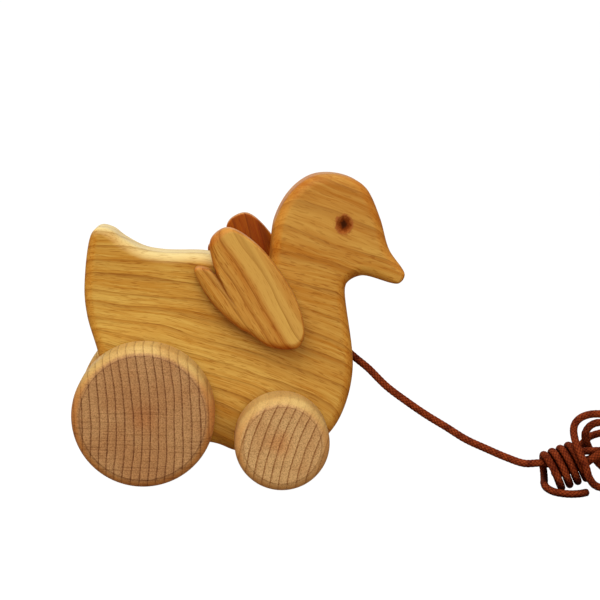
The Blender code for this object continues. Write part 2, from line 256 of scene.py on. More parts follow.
class Bench:
    """Modelling steps that several pieces share."""

    SMOOTH_ANGLE = math.radians(38.0)
    ROD_SIDES = 48
    EGG_SEGMENTS = 48
    EGG_RINGS = 32

    @staticmethod
    def clear() -> None:
        """Leaves edit mode and deselects everything."""
        if bpy.context.object and bpy.context.object.mode != "OBJECT":
            bpy.ops.object.mode_set(mode="OBJECT")
        bpy.ops.object.select_all(action="DESELECT")

    @classmethod
    def take(cls, obj: bpy.types.Object) -> None:
        """Makes one object the active and only selected one.

        Args:
            obj: The object to take up.
        """
        cls.clear()
        obj.select_set(True)
        bpy.context.view_layer.objects.active = obj

    @classmethod
    def loft(cls, name: str, rings: Sequence[np.ndarray]) -> bpy.types.Object:
        """Raises a filled circle from ring to ring into a closed solid.

        Args:
            name: The piece's name.
            rings: Rings of the same number of points, in order.

        Returns:
            The new object.
        """
        cls.clear()
        bpy.ops.mesh.primitive_circle_add(vertices=len(rings[0]), radius=1.0, fill_type="NGON")
        obj = bpy.context.active_object
        obj.name = obj.data.name = name
        seat = obj.data.attributes.new("seat", "INT", "POINT")
        seat.data.foreach_set("value", np.arange(len(rings[0]), dtype=np.int32))
        obj.data.vertices.foreach_set("co", np.asarray(rings[0], np.float32).ravel())
        bpy.ops.object.mode_set(mode="EDIT")
        bpy.ops.mesh.select_mode(type="FACE")
        bpy.ops.mesh.select_all(action="SELECT")
        for ring in rings[1:]:
            bpy.ops.mesh.extrude_region()
            bm = bmesh.from_edit_mesh(obj.data)
            layer = bm.verts.layers.int["seat"]
            for vert in bm.verts:
                if vert.select:
                    vert.co = ring[vert[layer]]
            bmesh.update_edit_mesh(obj.data)
        bpy.ops.mesh.select_all(action="SELECT")
        bpy.ops.mesh.normals_make_consistent(inside=False)
        bpy.ops.object.mode_set(mode="OBJECT")
        obj.data.attributes.remove(obj.data.attributes["seat"])
        return obj

    @classmethod
    def rod(cls, start: Sequence[float], end: Sequence[float], radius: float) -> bpy.types.Object:
        """A round cutter from one point to another.

        Args:
            start: The centre of one end.
            end: The centre of the other end.
            radius: Its radius.

        Returns:
            The cutter.
        """
        cls.clear()
        axis = Vector(end) - Vector(start)
        bpy.ops.mesh.primitive_cylinder_add(
            vertices=cls.ROD_SIDES, radius=radius, depth=axis.length, location=Vector(start) + axis / 2.0,
            rotation=axis.to_track_quat("Z", "Y").to_euler())
        return bpy.context.active_object

    @classmethod
    def egg(cls, centre: Sequence[float], size: Sequence[float]) -> bpy.types.Object:
        """A cutter in the shape of an egg.

        Args:
            centre: Its centre.
            size: Its half sizes.

        Returns:
            The cutter.
        """
        cls.clear()
        bpy.ops.mesh.primitive_uv_sphere_add(
            segments=cls.EGG_SEGMENTS, ring_count=cls.EGG_RINGS, radius=1.0, location=centre, scale=size)
        return bpy.context.active_object

    @classmethod
    def cut(cls, target: bpy.types.Object, cutter: bpy.types.Object) -> None:
        """Takes the cutter's shape out of the target and throws the cutter away.

        Args:
            target: The piece to cut.
            cutter: The solid to take out of it.
        """
        cls.take(target)
        modifier = target.modifiers.new("cut", "BOOLEAN")
        modifier.operation = "DIFFERENCE"
        modifier.solver = "EXACT"
        modifier.object = cutter
        bpy.ops.object.modifier_apply(modifier=modifier.name)
        bpy.data.objects.remove(cutter)

    @classmethod
    def soften(cls, obj: bpy.types.Object) -> None:
        """Shades the piece smooth, with its flat faces kept flat.

        Args:
            obj: The piece.
        """
        cls.take(obj)
        bpy.ops.object.shade_smooth_by_angle(angle=cls.SMOOTH_ANGLE)
        modifier = obj.modifiers.new("flat faces", "WEIGHTED_NORMAL")
        modifier.keep_sharp = True
        bpy.ops.object.modifier_apply(modifier=modifier.name)

    @staticmethod
    def dress(obj: bpy.types.Object, material: bpy.types.Material) -> None:
        """Gives the piece one material and no other."""
        obj.data.materials.clear()
        obj.data.materials.append(material)


# Finishes


class NodeGraph:
    """The nodes of one material, wired a call at a time."""

    COLOUR_MIX_INPUTS = (0, 6, 7)
    COLOUR_MIX_OUTPUT = 2

    def __init__(self, name: str) -> None:
        """Starts a material that holds only its shader.

        Args:
            name: The material's name.
        """
        self.material = bpy.data.materials.new(name)
        self.material.use_nodes = True
        self.nodes = self.material.node_tree.nodes
        self.links = self.material.node_tree.links
        self.shader = self.nodes["Principled BSDF"]

    def feed(self, socket: Socket, value: Feed) -> None:
        """Links a socket to another one, or sets its value.

        Args:
            socket: The input to feed.
            value: Another node's output, a number, a vector or a colour.
        """
        if isinstance(value, bpy.types.NodeSocket):
            self.links.new(value, socket)
        elif socket.type == "RGBA" and len(value) == 3:
            socket.default_value = (*value, 1.0)
        else:
            socket.default_value = value

    def set(self, **values: Feed) -> None:
        """Feeds the shader's sockets, named with _ for each space."""
        for name, value in values.items():
            self.feed(self.shader.inputs[name.replace("_", " ")], value)

    def node(self, kind: str, **inputs: Feed) -> bpy.types.Node:
        """A new node with its inputs fed by name.

        Args:
            kind: The kind of node.
            inputs: What its inputs get, named with _ for each space.

        Returns:
            The node.
        """
        node = self.nodes.new("ShaderNode" + kind)
        for name, value in inputs.items():
            self.feed(node.inputs[name.replace("_", " ")], value)
        return node

    def arithmetic(self, kind: str, operation: str, terms: Sequence[Feed]) -> bpy.types.Node:
        """A new node of arithmetic with its inputs fed in order.

        Args:
            kind: Math or VectorMath.
            operation: What it works out.
            terms: What its first inputs get.

        Returns:
            The node.
        """
        node = self.node(kind)
        node.operation = operation
        for socket, value in zip(node.inputs, terms):
            self.feed(socket, value)
        return node

    def place(self) -> Socket:
        """Object coordinates in millimetres.

        Returns:
            The place as a vector.
        """
        node = self.arithmetic("VectorMath", "SCALE", [self.node("TexCoord").outputs["Object"]])
        node.inputs["Scale"].default_value = 1.0 / MM
        return node.outputs[0]

    def facing(self) -> Socket:
        """The surface normal in the piece's own frame."""
        return self.node("TexCoord").outputs["Normal"]

    def math(self, operation: str, *terms: Feed) -> Socket:
        """One step of arithmetic on up to three terms."""
        return self.arithmetic("Math", operation, terms).outputs[0]

    def size(self, value: Feed) -> Socket:
        """A value without its sign."""
        return self.math("ABSOLUTE", value)

    def less(self, value: Feed, taken: Feed) -> Socket:
        """A value with another taken from it."""
        return self.math("SUBTRACT", value, taken)

    def times(self, first: Feed, *others: Feed) -> Socket:
        """The product of all its terms."""
        return reduce(lambda product, other: self.math("MULTIPLY", product, other), others, first)

    def sum(self, *terms: tuple[Feed, float]) -> Socket:
        """A weighted sum.

        Args:
            terms: The terms, each with its weight.

        Returns:
            The sum.
        """
        total = self.math("MULTIPLY", *terms[0])
        for term, weight in terms[1:]:
            total = self.math("MULTIPLY_ADD", term, weight, total)
        return total

    def dot(self, vector: Socket, direction: Sequence[float]) -> Socket:
        """The length of a vector along a direction."""
        return self.arithmetic("VectorMath", "DOT_PRODUCT", [vector, direction]).outputs["Value"]

    def distance(self, vector: Socket, point: Feed) -> Socket:
        """How far a place is from a point."""
        return self.arithmetic("VectorMath", "DISTANCE", [vector, point]).outputs["Value"]

    def combine(self, x: Feed, y: Feed, z: Feed) -> Socket:
        """A vector from its three parts."""
        return self.node("CombineXYZ", X=x, Y=y, Z=z).outputs[0]

    def split(self, vector: Socket) -> tuple[Socket, Socket, Socket]:
        """The three parts of a vector."""
        node = self.node("SeparateXYZ", Vector=vector)
        return node.outputs[0], node.outputs[1], node.outputs[2]

    def noise(self, parts: Sequence[Feed], scales: Sequence[float], detail: float = 2.0,
              roughness: float = 0.5) -> Socket:
        """Soft noise, drawn out by its own scale in each part of a place.

        Args:
            parts: The three parts of the place.
            scales: How many lumps there are to each unit of a part.
            detail: How many finer layers it has.
            roughness: How strong each finer layer is.

        Returns:
            The noise, about a half on the whole.
        """
        vector = self.combine(*(self.times(part, scale) for part, scale in zip(parts, scales)))
        return self.node("TexNoise", Vector=vector, Scale=1.0, Detail=detail, Roughness=roughness).outputs[0]

    def step(self, value: Feed, low: float, high: float) -> Socket:
        """A soft step from nought at one value to one at another.

        Args:
            value: What the step follows.
            low: Where it is nought.
            high: Where it is one, above or below that.

        Returns:
            The step.
        """
        node = self.node("MapRange", Value=value, From_Min=low, From_Max=high)
        node.interpolation_type = "SMOOTHSTEP"
        return node.outputs[0]

    def mix(self, share: Feed, first: Feed, second: Feed, blend: str = "MIX") -> Socket:
        """Two colours blended by a share.

        Args:
            share: How much of the second colour there is.
            first: The first colour.
            second: The second colour.
            blend: How they blend.

        Returns:
            The blend.
        """
        node = self.node("Mix")
        node.data_type = "RGBA"
        node.blend_type = blend
        for index, value in zip(self.COLOUR_MIX_INPUTS, (share, first, second)):
            self.feed(node.inputs[index], value)
        return node.outputs[self.COLOUR_MIX_OUTPUT]

    def tint(self, share: Feed, colour: Feed, through: Feed) -> Socket:
        """A colour seen, by a share, through another."""
        return self.mix(share, colour, through, "MULTIPLY")

    def bump(self, height: Socket, depth: float) -> Socket:
        """A normal that follows a height, with its full depth in metres."""
        return self.node("Bump", Height=height, Distance=depth, Strength=1.0).outputs[0]


@dataclass(frozen=True)
class Grain:
    """How the grain runs in a board, in millimetres and radians.

    Attributes:
        angle: The turn of the grain from the toy's long axis.
        fall: How far the lines fall for each millimetre along the grain.
        bend: How much more they fall for each square of a millimetre along the grain.
        twist: How much the fall changes for each millimetre above the twist level.
        level: The height at which the lines fall as stated.
        lean: How far the lines fall for each millimetre through the board, towards +Y.
        swing_at: A place that the lines swing round.
        swing_height: How far they are pushed down there.
        swing_radius: How far out the swing reaches.
        wander: How far the lines stray.
        wander_scale: How often they stray along the grain, through the board and across the lines.
    """

    angle: float = 0.0
    fall: float = 0.0
    bend: float = 0.0
    twist: float = 0.0
    level: float = 0.0
    lean: float = 0.25
    swing_at: Triple = (0.0, 0.0, 0.0)
    swing_height: float = 0.0
    swing_radius: float = 1.0
    wander: float = 8.0
    wander_scale: Triple = (0.022, 0.03, 0.045)

    @property
    def way(self) -> Triple:
        """The direction along the grain."""
        return math.cos(self.angle), 0.0, math.sin(self.angle)

    @property
    def rise(self) -> Triple:
        """The direction across the lines."""
        return -math.sin(self.angle), 0.0, math.cos(self.angle)

    def lines(self, graph: NodeGraph) -> tuple[Socket, Socket, Socket]:
        """The place in the wood.

        Args:
            graph: The material's nodes.

        Returns:
            The place along the grain, through the board and across the lines.
        """
        place = graph.place()
        along, through, across = (graph.dot(place, way) for way in (self.way, WIDTH, self.rise))
        twist = graph.times(along, graph.less(across, self.level))
        swing = graph.step(graph.distance(place, self.swing_at), self.swing_radius, 0.0)
        stray = graph.noise((along, through, across), self.wander_scale)
        height = graph.sum((across, 1.0), (along, self.fall), (graph.times(along, along), self.bend),
                           (twist, self.twist), (through, self.lean), (swing, self.swing_height),
                           (stray, self.wander))
        return along, through, height


@dataclass(frozen=True)
class BurntEye:
    """An eye burnt into a dimple: a black middle, frayed, in a reddish brown ring.

    Attributes:
        at: The middle of the eye in x and z.
        squash: Its width as a share of its height.
        fray: How far its rings stray.
        fray_scale: How many times they stray in a millimetre.
        wood: The wood that shows at its brim.
        ring: The colour of its ring.
        scorch: The colour inside the ring.
        middle: The colour of its middle.
        edges: How far out the ring, the scorch and the middle start, and where each is full.
        relief: How deep the burn's grain is, in metres.
    """

    at: Spot
    squash: float = 0.88
    fray: float = 2.8
    fray_scale: float = 0.75
    wood: Colour = (0.58, 0.29, 0.045)
    ring: Colour = (0.36, 0.105, 0.018)
    scorch: Colour = (0.18, 0.035, 0.004)
    middle: Colour = (0.045, 0.010, 0.002)
    edges: tuple[Span, Span, Span] = ((3.9, 2.7), (2.8, 1.7), (1.8, 0.5))
    relief: float = 0.05 * MM

    def burn(self, graph: NodeGraph, colour: Feed) -> tuple[Socket, Socket]:
        """Burns the eye into a colour.

        Args:
            graph: The material's nodes.
            colour: The wood's colour.

        Returns:
            The colour with the eye in it, and the frayed distance from its middle.
        """
        x, _, z = graph.split(graph.place())
        reach = graph.distance(graph.combine(x, 0.0, graph.times(z, self.squash)),
                               (self.at[0], 0.0, self.squash * self.at[1]))
        stray = graph.noise((x, 0.0, z), (self.fray_scale, 1.0, self.fray_scale), detail=3.0, roughness=0.65)
        reach = graph.sum((reach, 1.0), (stray, self.fray), (1.0, -self.fray / 2.0))
        for edge, burnt in zip(self.edges, (self.ring, self.scorch, self.middle)):
            colour = graph.mix(graph.step(reach, *edge), colour, burnt)
        return colour, reach

    def make(self) -> bpy.types.Material:
        """The finish of the dimple, dull as soot.

        Returns:
            The material.
        """
        graph = NodeGraph("burnt eye")
        colour, reach = self.burn(graph, self.wood)
        graph.set(Base_Color=colour, Roughness=0.9, Normal=graph.bump(reach, self.relief),
                  Specular_IOR_Level=0.03)
        return graph.material


@dataclass(frozen=True)
class OiledBoard:
    """Oiled fruitwood: slow bands, year lines, fibre and short pores, deeper at the ends, with painted shade
    on its edges and a painted pale sheen on top.

    Places are in millimetres. Each noise has so many lumps to a millimetre along the grain, through the board
    and across the lines. An edge says where something starts to show and where it shows in full.

    Attributes:
        name: The material's name.
        grain: How the grain runs.
        light: The lightest wood.
        dark: The darkest wood.
        ring: What the year lines let through.
        line: What the pores let through.
        heart: What the deeper wood towards the head lets through.
        end: What the end grain lets through; at half that share it also falls on every rounded edge as
            painted warm shade.
        pale: The wood of the pale run.
        worn: The pale colour painted on edges that face up, a painted sheen of the light from above.
        worn_share: How strong that painted sheen is towards the tail.
        inner: What the face next to the body lets through, as painted shade.
        inner_shade_side: The sign of y that the painted-shade inner face looks to, or nought for none.
        year: The usual step from one year line to the next.
        pale_run: The middle and half width of a pale run of wood, across the lines.
        groove: The two ends of a groove in x and z, with painted shade dark at the first and fading to the
            second.
        crease_shade_edge: How far off the groove's middle the painted shade starts, and where it is full.
        grime: What the painted shade in the groove lets through.
        eye: The eye burnt into it.
    """

    SLOW: ClassVar[Triple] = (0.010, 0.05, 0.14)
    STREAK: ClassVar[Triple] = (0.030, 0.3, 0.75)
    FIBRE: ClassVar[Triple] = (0.10, 1.6, 2.3)
    PORE: ClassVar[Triple] = (0.25, 2.5, 2.7)
    TONE_EDGE: ClassVar[Span] = (0.48, 0.86)
    HEART_EDGE: ClassVar[Span] = (-25.0, 35.0)
    HEAD_HEIGHT_EDGE: ClassVar[Span] = (68.0, 98.0)
    HEAD_FRONT_EDGE: ClassVar[Span] = (0.0, 15.0)
    HEAD_CALM: ClassVar[float] = 0.40
    SHEEN_X_EDGE: ClassVar[Span] = (14.0, -2.0)
    UP_EDGES: ClassVar[tuple[Span, Span]] = ((0.08, 0.60), (0.40, 1.0))
    PORE_EDGE: ClassVar[Span] = (0.56, 0.68)
    PORE_SHARE: ClassVar[float] = 0.60
    PALE_FADE: ClassVar[float] = 3.0
    PALE_SHARE: ClassVar[float] = 0.6
    YEAR_EDGE: ClassVar[Span] = (1.0, 0.96)
    LATE_POWER: ClassVar[float] = 7.0
    STREAK_EDGE: ClassVar[Span] = (0.34, 0.58)
    FIBRE_EDGE: ClassVar[Span] = (0.38, 0.62)
    END_ON_EDGE: ClassVar[Span] = (0.02, 0.50)
    EDGE_SHADE_FACING: ClassVar[Span] = (0.97, 0.60)
    INNER_SHADE_EDGE: ClassVar[Span] = (0.5, 0.9)
    GRIME_FRAY: ClassVar[float] = 0.8
    GRIME_LEAD: ClassVar[float] = -2.0
    RELIEF: ClassVar[float] = 0.05 * MM
    GLOSS: ClassVar[float] = 0.09

    name: str
    grain: Grain
    light: Colour = (0.695, 0.440, 0.092)
    dark: Colour = (0.51, 0.222, 0.022)
    ring: Colour = (0.50, 0.32, 0.14)
    line: Colour = (0.60, 0.39, 0.17)
    heart: Colour = (0.86, 0.715, 0.63)
    end: Colour = (1.04, 0.84, 0.62)
    pale: Colour = (0.73, 0.46, 0.105)
    worn: Colour = (0.83, 0.67, 0.30)
    inner: Colour = (0.56, 0.26, 0.033)
    worn_share: float = 0.88
    inner_shade_side: float = 0.0
    year: float = 6.4
    pale_run: Span | None = None
    groove: tuple[Spot, Spot] | None = None
    crease_shade_edge: Span = (1.1, 0.1)
    grime: Colour = (0.30, 0.14, 0.05)
    eye: BurntEye | None = None

    def make(self) -> bpy.types.Material:
        """The finish, from the slow bands up to the burnt eye.

        Returns:
            The material.
        """
        graph = NodeGraph(self.name)
        wood = self.grain.lines(graph)
        slow = graph.noise(wood, self.SLOW, detail=3.0)
        streak = graph.noise(wood, self.STREAK, detail=3.0)
        fibre = graph.noise(wood, self.FIBRE, detail=3.0)
        pore = graph.noise(wood, self.PORE, detail=1.0)
        x, _, z = graph.split(graph.place())
        head = graph.times(graph.step(z, *self.HEAD_HEIGHT_EDGE), graph.step(x, *self.HEAD_FRONT_EDGE))
        normal = graph.facing()

        tone = graph.sum((slow, 0.55), (streak, 0.45), (fibre, 0.34))
        colour = graph.mix(graph.step(tone, *self.TONE_EDGE), self.dark, self.light)
        deeper = graph.sum((graph.step(x, *self.HEART_EDGE), 0.5), (head, 0.5))
        colour = graph.tint(deeper, colour, self.heart)
        # Painted highlight: edges that face up, most towards the tail, are painted pale as the sheen of the
        # light from above.
        worn = self.worn_at(graph, x, normal, fibre)
        colour = graph.mix(worn, colour, self.worn)

        calm = graph.sum((head, -self.HEAD_CALM), (1.0, 1.0))
        pores = graph.times(graph.step(pore, *self.PORE_EDGE), calm, self.PORE_SHARE)
        if self.pale_run is not None:
            middle, reach = self.pale_run
            off = graph.sum((graph.size(graph.less(wood[2], middle)), 1.0), (fibre, self.PALE_FADE))
            pale = graph.times(graph.step(off, reach + self.PALE_FADE, reach), self.PALE_SHARE)
            colour = graph.mix(pale, colour, self.pale)
            pores = graph.times(pores, graph.less(1.0, pale))

        year = graph.math("FRACT", graph.sum((wood[2], 1.0 / self.year), (slow, 1.7)))
        rising = graph.math("POWER", year, self.LATE_POWER)
        late = graph.times(rising, graph.step(year, *self.YEAR_EDGE), calm)
        patch = graph.sum((graph.step(streak, *self.STREAK_EDGE), 0.5),
                          (graph.step(fibre, *self.FIBRE_EDGE), 0.35), (1.0, 0.35))
        colour = graph.tint(graph.times(late, patch), colour, self.ring)
        colour = graph.tint(pores, colour, self.line)

        # End grain is deeper in itself; the rounded edges get the same tint as painted warm shade.
        end_on = graph.step(graph.size(graph.dot(normal, self.grain.way)), *self.END_ON_EDGE)
        rim = graph.step(graph.size(graph.dot(normal, WIDTH)), *self.EDGE_SHADE_FACING)
        edge_shade_and_end_grain = graph.sum((end_on, 0.70), (rim, 0.35))
        colour = graph.tint(graph.times(edge_shade_and_end_grain, graph.less(1.0, worn)), colour, self.end)
        # Painted shade: the face next to the body is darkened as if in the shade between wing and body.
        if self.inner_shade_side:
            inside = graph.step(graph.dot(normal, (0.0, self.inner_shade_side, 0.0)), *self.INNER_SHADE_EDGE)
            colour = graph.tint(inside, colour, self.inner)
        # Painted shade in the wing's crease.
        if self.groove is not None:
            colour = self.grimed(graph, colour, fibre)
        if self.eye is not None:
            colour, _ = self.eye.burn(graph, colour)
        relief = graph.sum((fibre, 0.6), (pore, -0.5), (streak, 0.3))
        graph.set(Base_Color=colour, Roughness=graph.sum((fibre, 0.16), (1.0, 0.36)),
                  Normal=graph.bump(relief, self.RELIEF), Specular_IOR_Level=self.GLOSS)
        return graph.material

    def worn_at(self, graph: NodeGraph, x: Socket, normal: Socket, fibre: Socket) -> Socket:
        """How much painted pale sheen the wood gets: most where the back faces up.

        Args:
            graph: The material's nodes.
            x: The place along the toy.
            normal: The surface normal.
            fibre: Fine noise that frays the edge of the worn wood.

        Returns:
            The share of painted sheen.
        """
        up = graph.sum((graph.dot(normal, UP), 1.0), (fibre, 0.16))
        up_share = graph.sum(*((graph.step(up, *edge), 0.5) for edge in self.UP_EDGES))
        towards_tail = graph.sum((graph.step(x, *self.SHEEN_X_EDGE), self.worn_share), (1.0, 0.05))
        return graph.times(up_share, towards_tail)

    def grimed(self, graph: NodeGraph, colour: Socket, fibre: Socket) -> Socket:
        """Painted shade along the groove, where the crease would lie in shadow.

        Args:
            graph: The material's nodes.
            colour: The wood's colour.
            fibre: Fine noise that frays the painted shade.

        Returns:
            The colour with the painted shade in the groove.
        """
        start, end = (Vector((x, 0.0, z)) for x, z in self.groove)
        way = (end - start).normalized()
        off_way = Vector((way.z, 0.0, -way.x))
        place = graph.place()
        run = graph.less(graph.dot(place, way), start.dot(way))
        off = graph.size(graph.less(graph.dot(place, off_way), start.dot(off_way)))
        off = graph.sum((off, 1.0), (fibre, self.GRIME_FRAY), (1.0, -self.GRIME_FRAY / 2.0))
        fade = graph.step(run, (end - start).length, self.GRIME_LEAD)
        return graph.tint(graph.times(graph.step(off, *self.crease_shade_edge), fade), colour, self.grime)


@dataclass(frozen=True)
class TurnedBeech:
    """A beech wheel turned with its end grain outwards: year rings, fine rays and a golden rim.

    Places are in millimetres. The first three noises have so many lumps to a millimetre out from the pith,
    through the wheel and round the pith, and the others in x, y and z. An edge says where something starts to
    show and where it shows in full.

    Attributes:
        name: The material's name.
        middle: The wheel's middle in x and z.
        pith: The middle of the year rings in x and z, from the wheel's middle.
        year: The usual step from ring to ring.
        face: The colour of the end grain.
        rim: The colour of the upper rim as it stands at rest, painted lighter as if lit from above.
        shaded_low_rim: The colour of the lower rim, painted darker and redder as shade.
        line: What a year line lets through; it also darkens the rays and the painted-shade line round the
            face.
        ray_light: How much the pale rays lighten the wood.
        rays: How strongly the rays across the year rings show.
        late: How dark each year's late wood is.
        rim_lines: How much of the year lines still shows on the upper rim.
        cloud: What the darker clouds let through.
        grit: What the dark and the light grains of the end grain let through.
        heart: What the warm wood round the middle lets through.
        heart_reach: How far out the warm wood starts, and where it is full.
        low_run: How far above the middle the dark rays start, and how far below it they are full.
    """

    WOBBLE: ClassVar[Triple] = (0.10, 0.01, 0.05)
    FINE: ClassVar[Triple] = (0.9, 0.1, 0.7)
    DOTS: ClassVar[Triple] = (0.6, 0.2, 1.7)
    RAY: ClassVar[Triple] = (0.05, 0.3, 1.9)
    GRIT: ClassVar[Triple] = (2.1, 0.4, 2.1)
    CLOUD: ClassVar[Triple] = (0.09, 0.05, 0.09)
    FACE_EDGE: ClassVar[Span] = (0.74, 0.97)
    LIT_TOP_EDGE: ClassVar[Span] = (0.05, 0.65)
    CLOUD_EDGE: ClassVar[Span] = (0.64, 0.36)
    GRIT_EDGE: ClassVar[Span] = (0.30, 0.62)
    FACE_RIM_SHADE_EDGES: ClassVar[tuple[Span, Span]] = ((0.90, 0.97), (0.999, 0.985))
    FACE_RIM_SHADE_SHARE: ClassVar[float] = 0.55
    PALE_RAY_EDGE: ClassVar[Span] = (0.46, 0.36)
    DARK_RAY_EDGE: ClassVar[Span] = (0.54, 0.66)
    LINE_EDGES: ClassVar[tuple[Span, Span]] = ((0.78, 0.92), (1.0, 0.97))
    LOW_LINES: ClassVar[float] = 0.75
    DOT_EDGE: ClassVar[Span] = (0.36, 0.60)
    LATE_POWER: ClassVar[float] = 3.0
    HEART_FRAY: ClassVar[float] = 5.0
    HEART_SHARE: ClassVar[float] = 0.5
    RELIEF: ClassVar[float] = 0.06 * MM
    GLOSS: ClassVar[float] = 0.22

    name: str
    middle: Spot
    pith: Spot
    year: float
    face: Colour
    rim: Colour
    shaded_low_rim: Colour = (0.63, 0.275, 0.075)
    line: Colour = (0.37, 0.23, 0.14)
    ray_light: Colour = (1.22, 1.24, 1.24)
    rays: float = 0.5
    late: float = 0.3
    rim_lines: float = 0.75
    cloud: Colour = (0.90, 0.82, 0.76)
    grit: tuple[Colour, Colour] = ((0.62, 0.54, 0.46), (1.14, 1.16, 1.16))
    heart: Colour = (0.98, 0.74, 0.58)
    heart_reach: Span = (9.5, 3.0)
    low_run: Span = (10.0, -6.0)

    def make(self) -> bpy.types.Material:
        """The finish, from the plain wood up to the year lines.

        Returns:
            The material.
        """
        graph = NodeGraph(self.name)
        place = graph.split(graph.place())
        x, y, z = place
        out_x, out_z = (graph.less(part, middle + pith) for part, middle, pith in
                        zip((x, z), self.middle, self.pith))
        reach = graph.distance(graph.combine(out_x, 0.0, out_z), (0.0, 0.0, 0.0))
        turn = graph.math("ARCTAN2", out_z, out_x if self.pith[0] < 0.0 else graph.times(out_x, -1.0))
        wood = (reach, y, graph.times(turn, abs(self.pith[0])))
        wobble = graph.noise(wood, self.WOBBLE)
        fine = graph.noise(wood, self.FINE)
        dots = graph.noise(wood, self.DOTS, detail=1.0)
        ray = graph.noise(place, self.RAY, roughness=0.6)
        grit = graph.noise(place, self.GRIT, detail=3.0, roughness=0.7)
        cloud = graph.noise(place, self.CLOUD)

        normal = graph.facing()
        flat = graph.size(graph.dot(normal, WIDTH))
        end_on = graph.step(flat, *self.FACE_EDGE)
        # Painted light: the rim is lighter on top and darker and redder below, as the wheel stands at rest.
        high = graph.step(graph.dot(normal, UP), *self.LIT_TOP_EDGE)
        colour = graph.mix(end_on, graph.mix(high, self.shaded_low_rim, self.rim), self.face)
        colour = graph.tint(graph.step(cloud, *self.CLOUD_EDGE), colour, self.cloud)
        grains = graph.mix(graph.step(grit, *self.GRIT_EDGE), *self.grit)
        colour = graph.tint(graph.sum((end_on, 0.6), (1.0, 0.4)), colour, grains)
        # Painted shade: a dark line where the flat face meets the rim.
        crease = graph.times(*(graph.step(flat, *edge) for edge in self.FACE_RIM_SHADE_EDGES), self.FACE_RIM_SHADE_SHARE)
        colour = graph.tint(crease, colour, self.line)
        shine = graph.times(graph.step(ray, *self.PALE_RAY_EDGE), end_on, self.rays)
        colour = graph.tint(shine, colour, self.ray_light)
        low = graph.step(z, *(self.middle[1] + height for height in self.low_run))
        rays = graph.times(graph.step(ray, *self.DARK_RAY_EDGE), graph.sum((low, 0.7), (1.0, 0.3)), self.rays)
        colour = graph.tint(rays, colour, self.line)

        year = graph.math("FRACT", graph.sum((reach, 1.0 / self.year), (wobble, 0.6), (fine, 0.07)))
        line = graph.times(*(graph.step(year, *edge) for edge in self.LINE_EDGES))
        strength = graph.sum((graph.step(dots, *self.DOT_EDGE), 0.45), (end_on, 0.35), (1.0, 0.15))
        on_rim = graph.sum((high, self.rim_lines - self.LOW_LINES), (1.0, self.LOW_LINES))
        shown = graph.math("MAXIMUM", end_on, on_rim)
        late = graph.times(graph.math("POWER", year, self.LATE_POWER), self.late)
        for share in (late, graph.times(line, strength)):
            colour = graph.tint(graph.times(share, shown), colour, self.line)
        out = graph.distance(graph.combine(x, 0.0, z), (self.middle[0], 0.0, self.middle[1]))
        warm = graph.step(graph.sum((out, 1.0), (cloud, self.HEART_FRAY)), *self.heart_reach)
        colour = graph.tint(graph.times(warm, self.HEART_SHARE), colour, self.heart)
        relief = graph.sum((line, -0.8), (grit, 0.5), (ray, -0.3))
        graph.set(Base_Color=colour, Roughness=graph.sum((grit, 0.2), (1.0, 0.44)),
                  Normal=graph.bump(relief, self.RELIEF), Specular_IOR_Level=self.GLOSS)
        return graph.material


@dataclass(frozen=True)
class DowelBeech:
    """Plain beech rod with its grain along the toy's width.

    Attributes:
        name: The material's name.
        light: The lightest wood.
        dark: The darkest wood.
    """

    FIBRE: ClassVar[Triple] = (1.6, 0.09, 1.6)
    FLECK: ClassVar[Triple] = (3.0, 0.7, 3.0)
    FIBRE_EDGE: ClassVar[Span] = (0.35, 0.65)
    FLECK_EDGE: ClassVar[Span] = (0.58, 0.70)
    FLECK_SHARE: ClassVar[float] = 0.4
    RELIEF: ClassVar[float] = 0.05 * MM

    name: str
    light: Colour = (0.62, 0.40, 0.20)
    dark: Colour = (0.46, 0.26, 0.12)

    def make(self) -> bpy.types.Material:
        """The finish: long fibre and short flecks.

        Returns:
            The material.
        """
        graph = NodeGraph(self.name)
        place = graph.split(graph.place())
        fibre = graph.noise(place, self.FIBRE, detail=4.0)
        fleck = graph.noise(place, self.FLECK, detail=1.0)
        colour = graph.mix(graph.step(fibre, *self.FIBRE_EDGE), self.dark, self.light)
        flecks = graph.times(graph.step(fleck, *self.FLECK_EDGE), self.FLECK_SHARE)
        colour = graph.mix(flecks, colour, self.dark)
        graph.set(Base_Color=colour, Roughness=graph.sum((fibre, 0.2), (1.0, 0.45)),
                  Normal=graph.bump(fibre, self.RELIEF))
        return graph.material


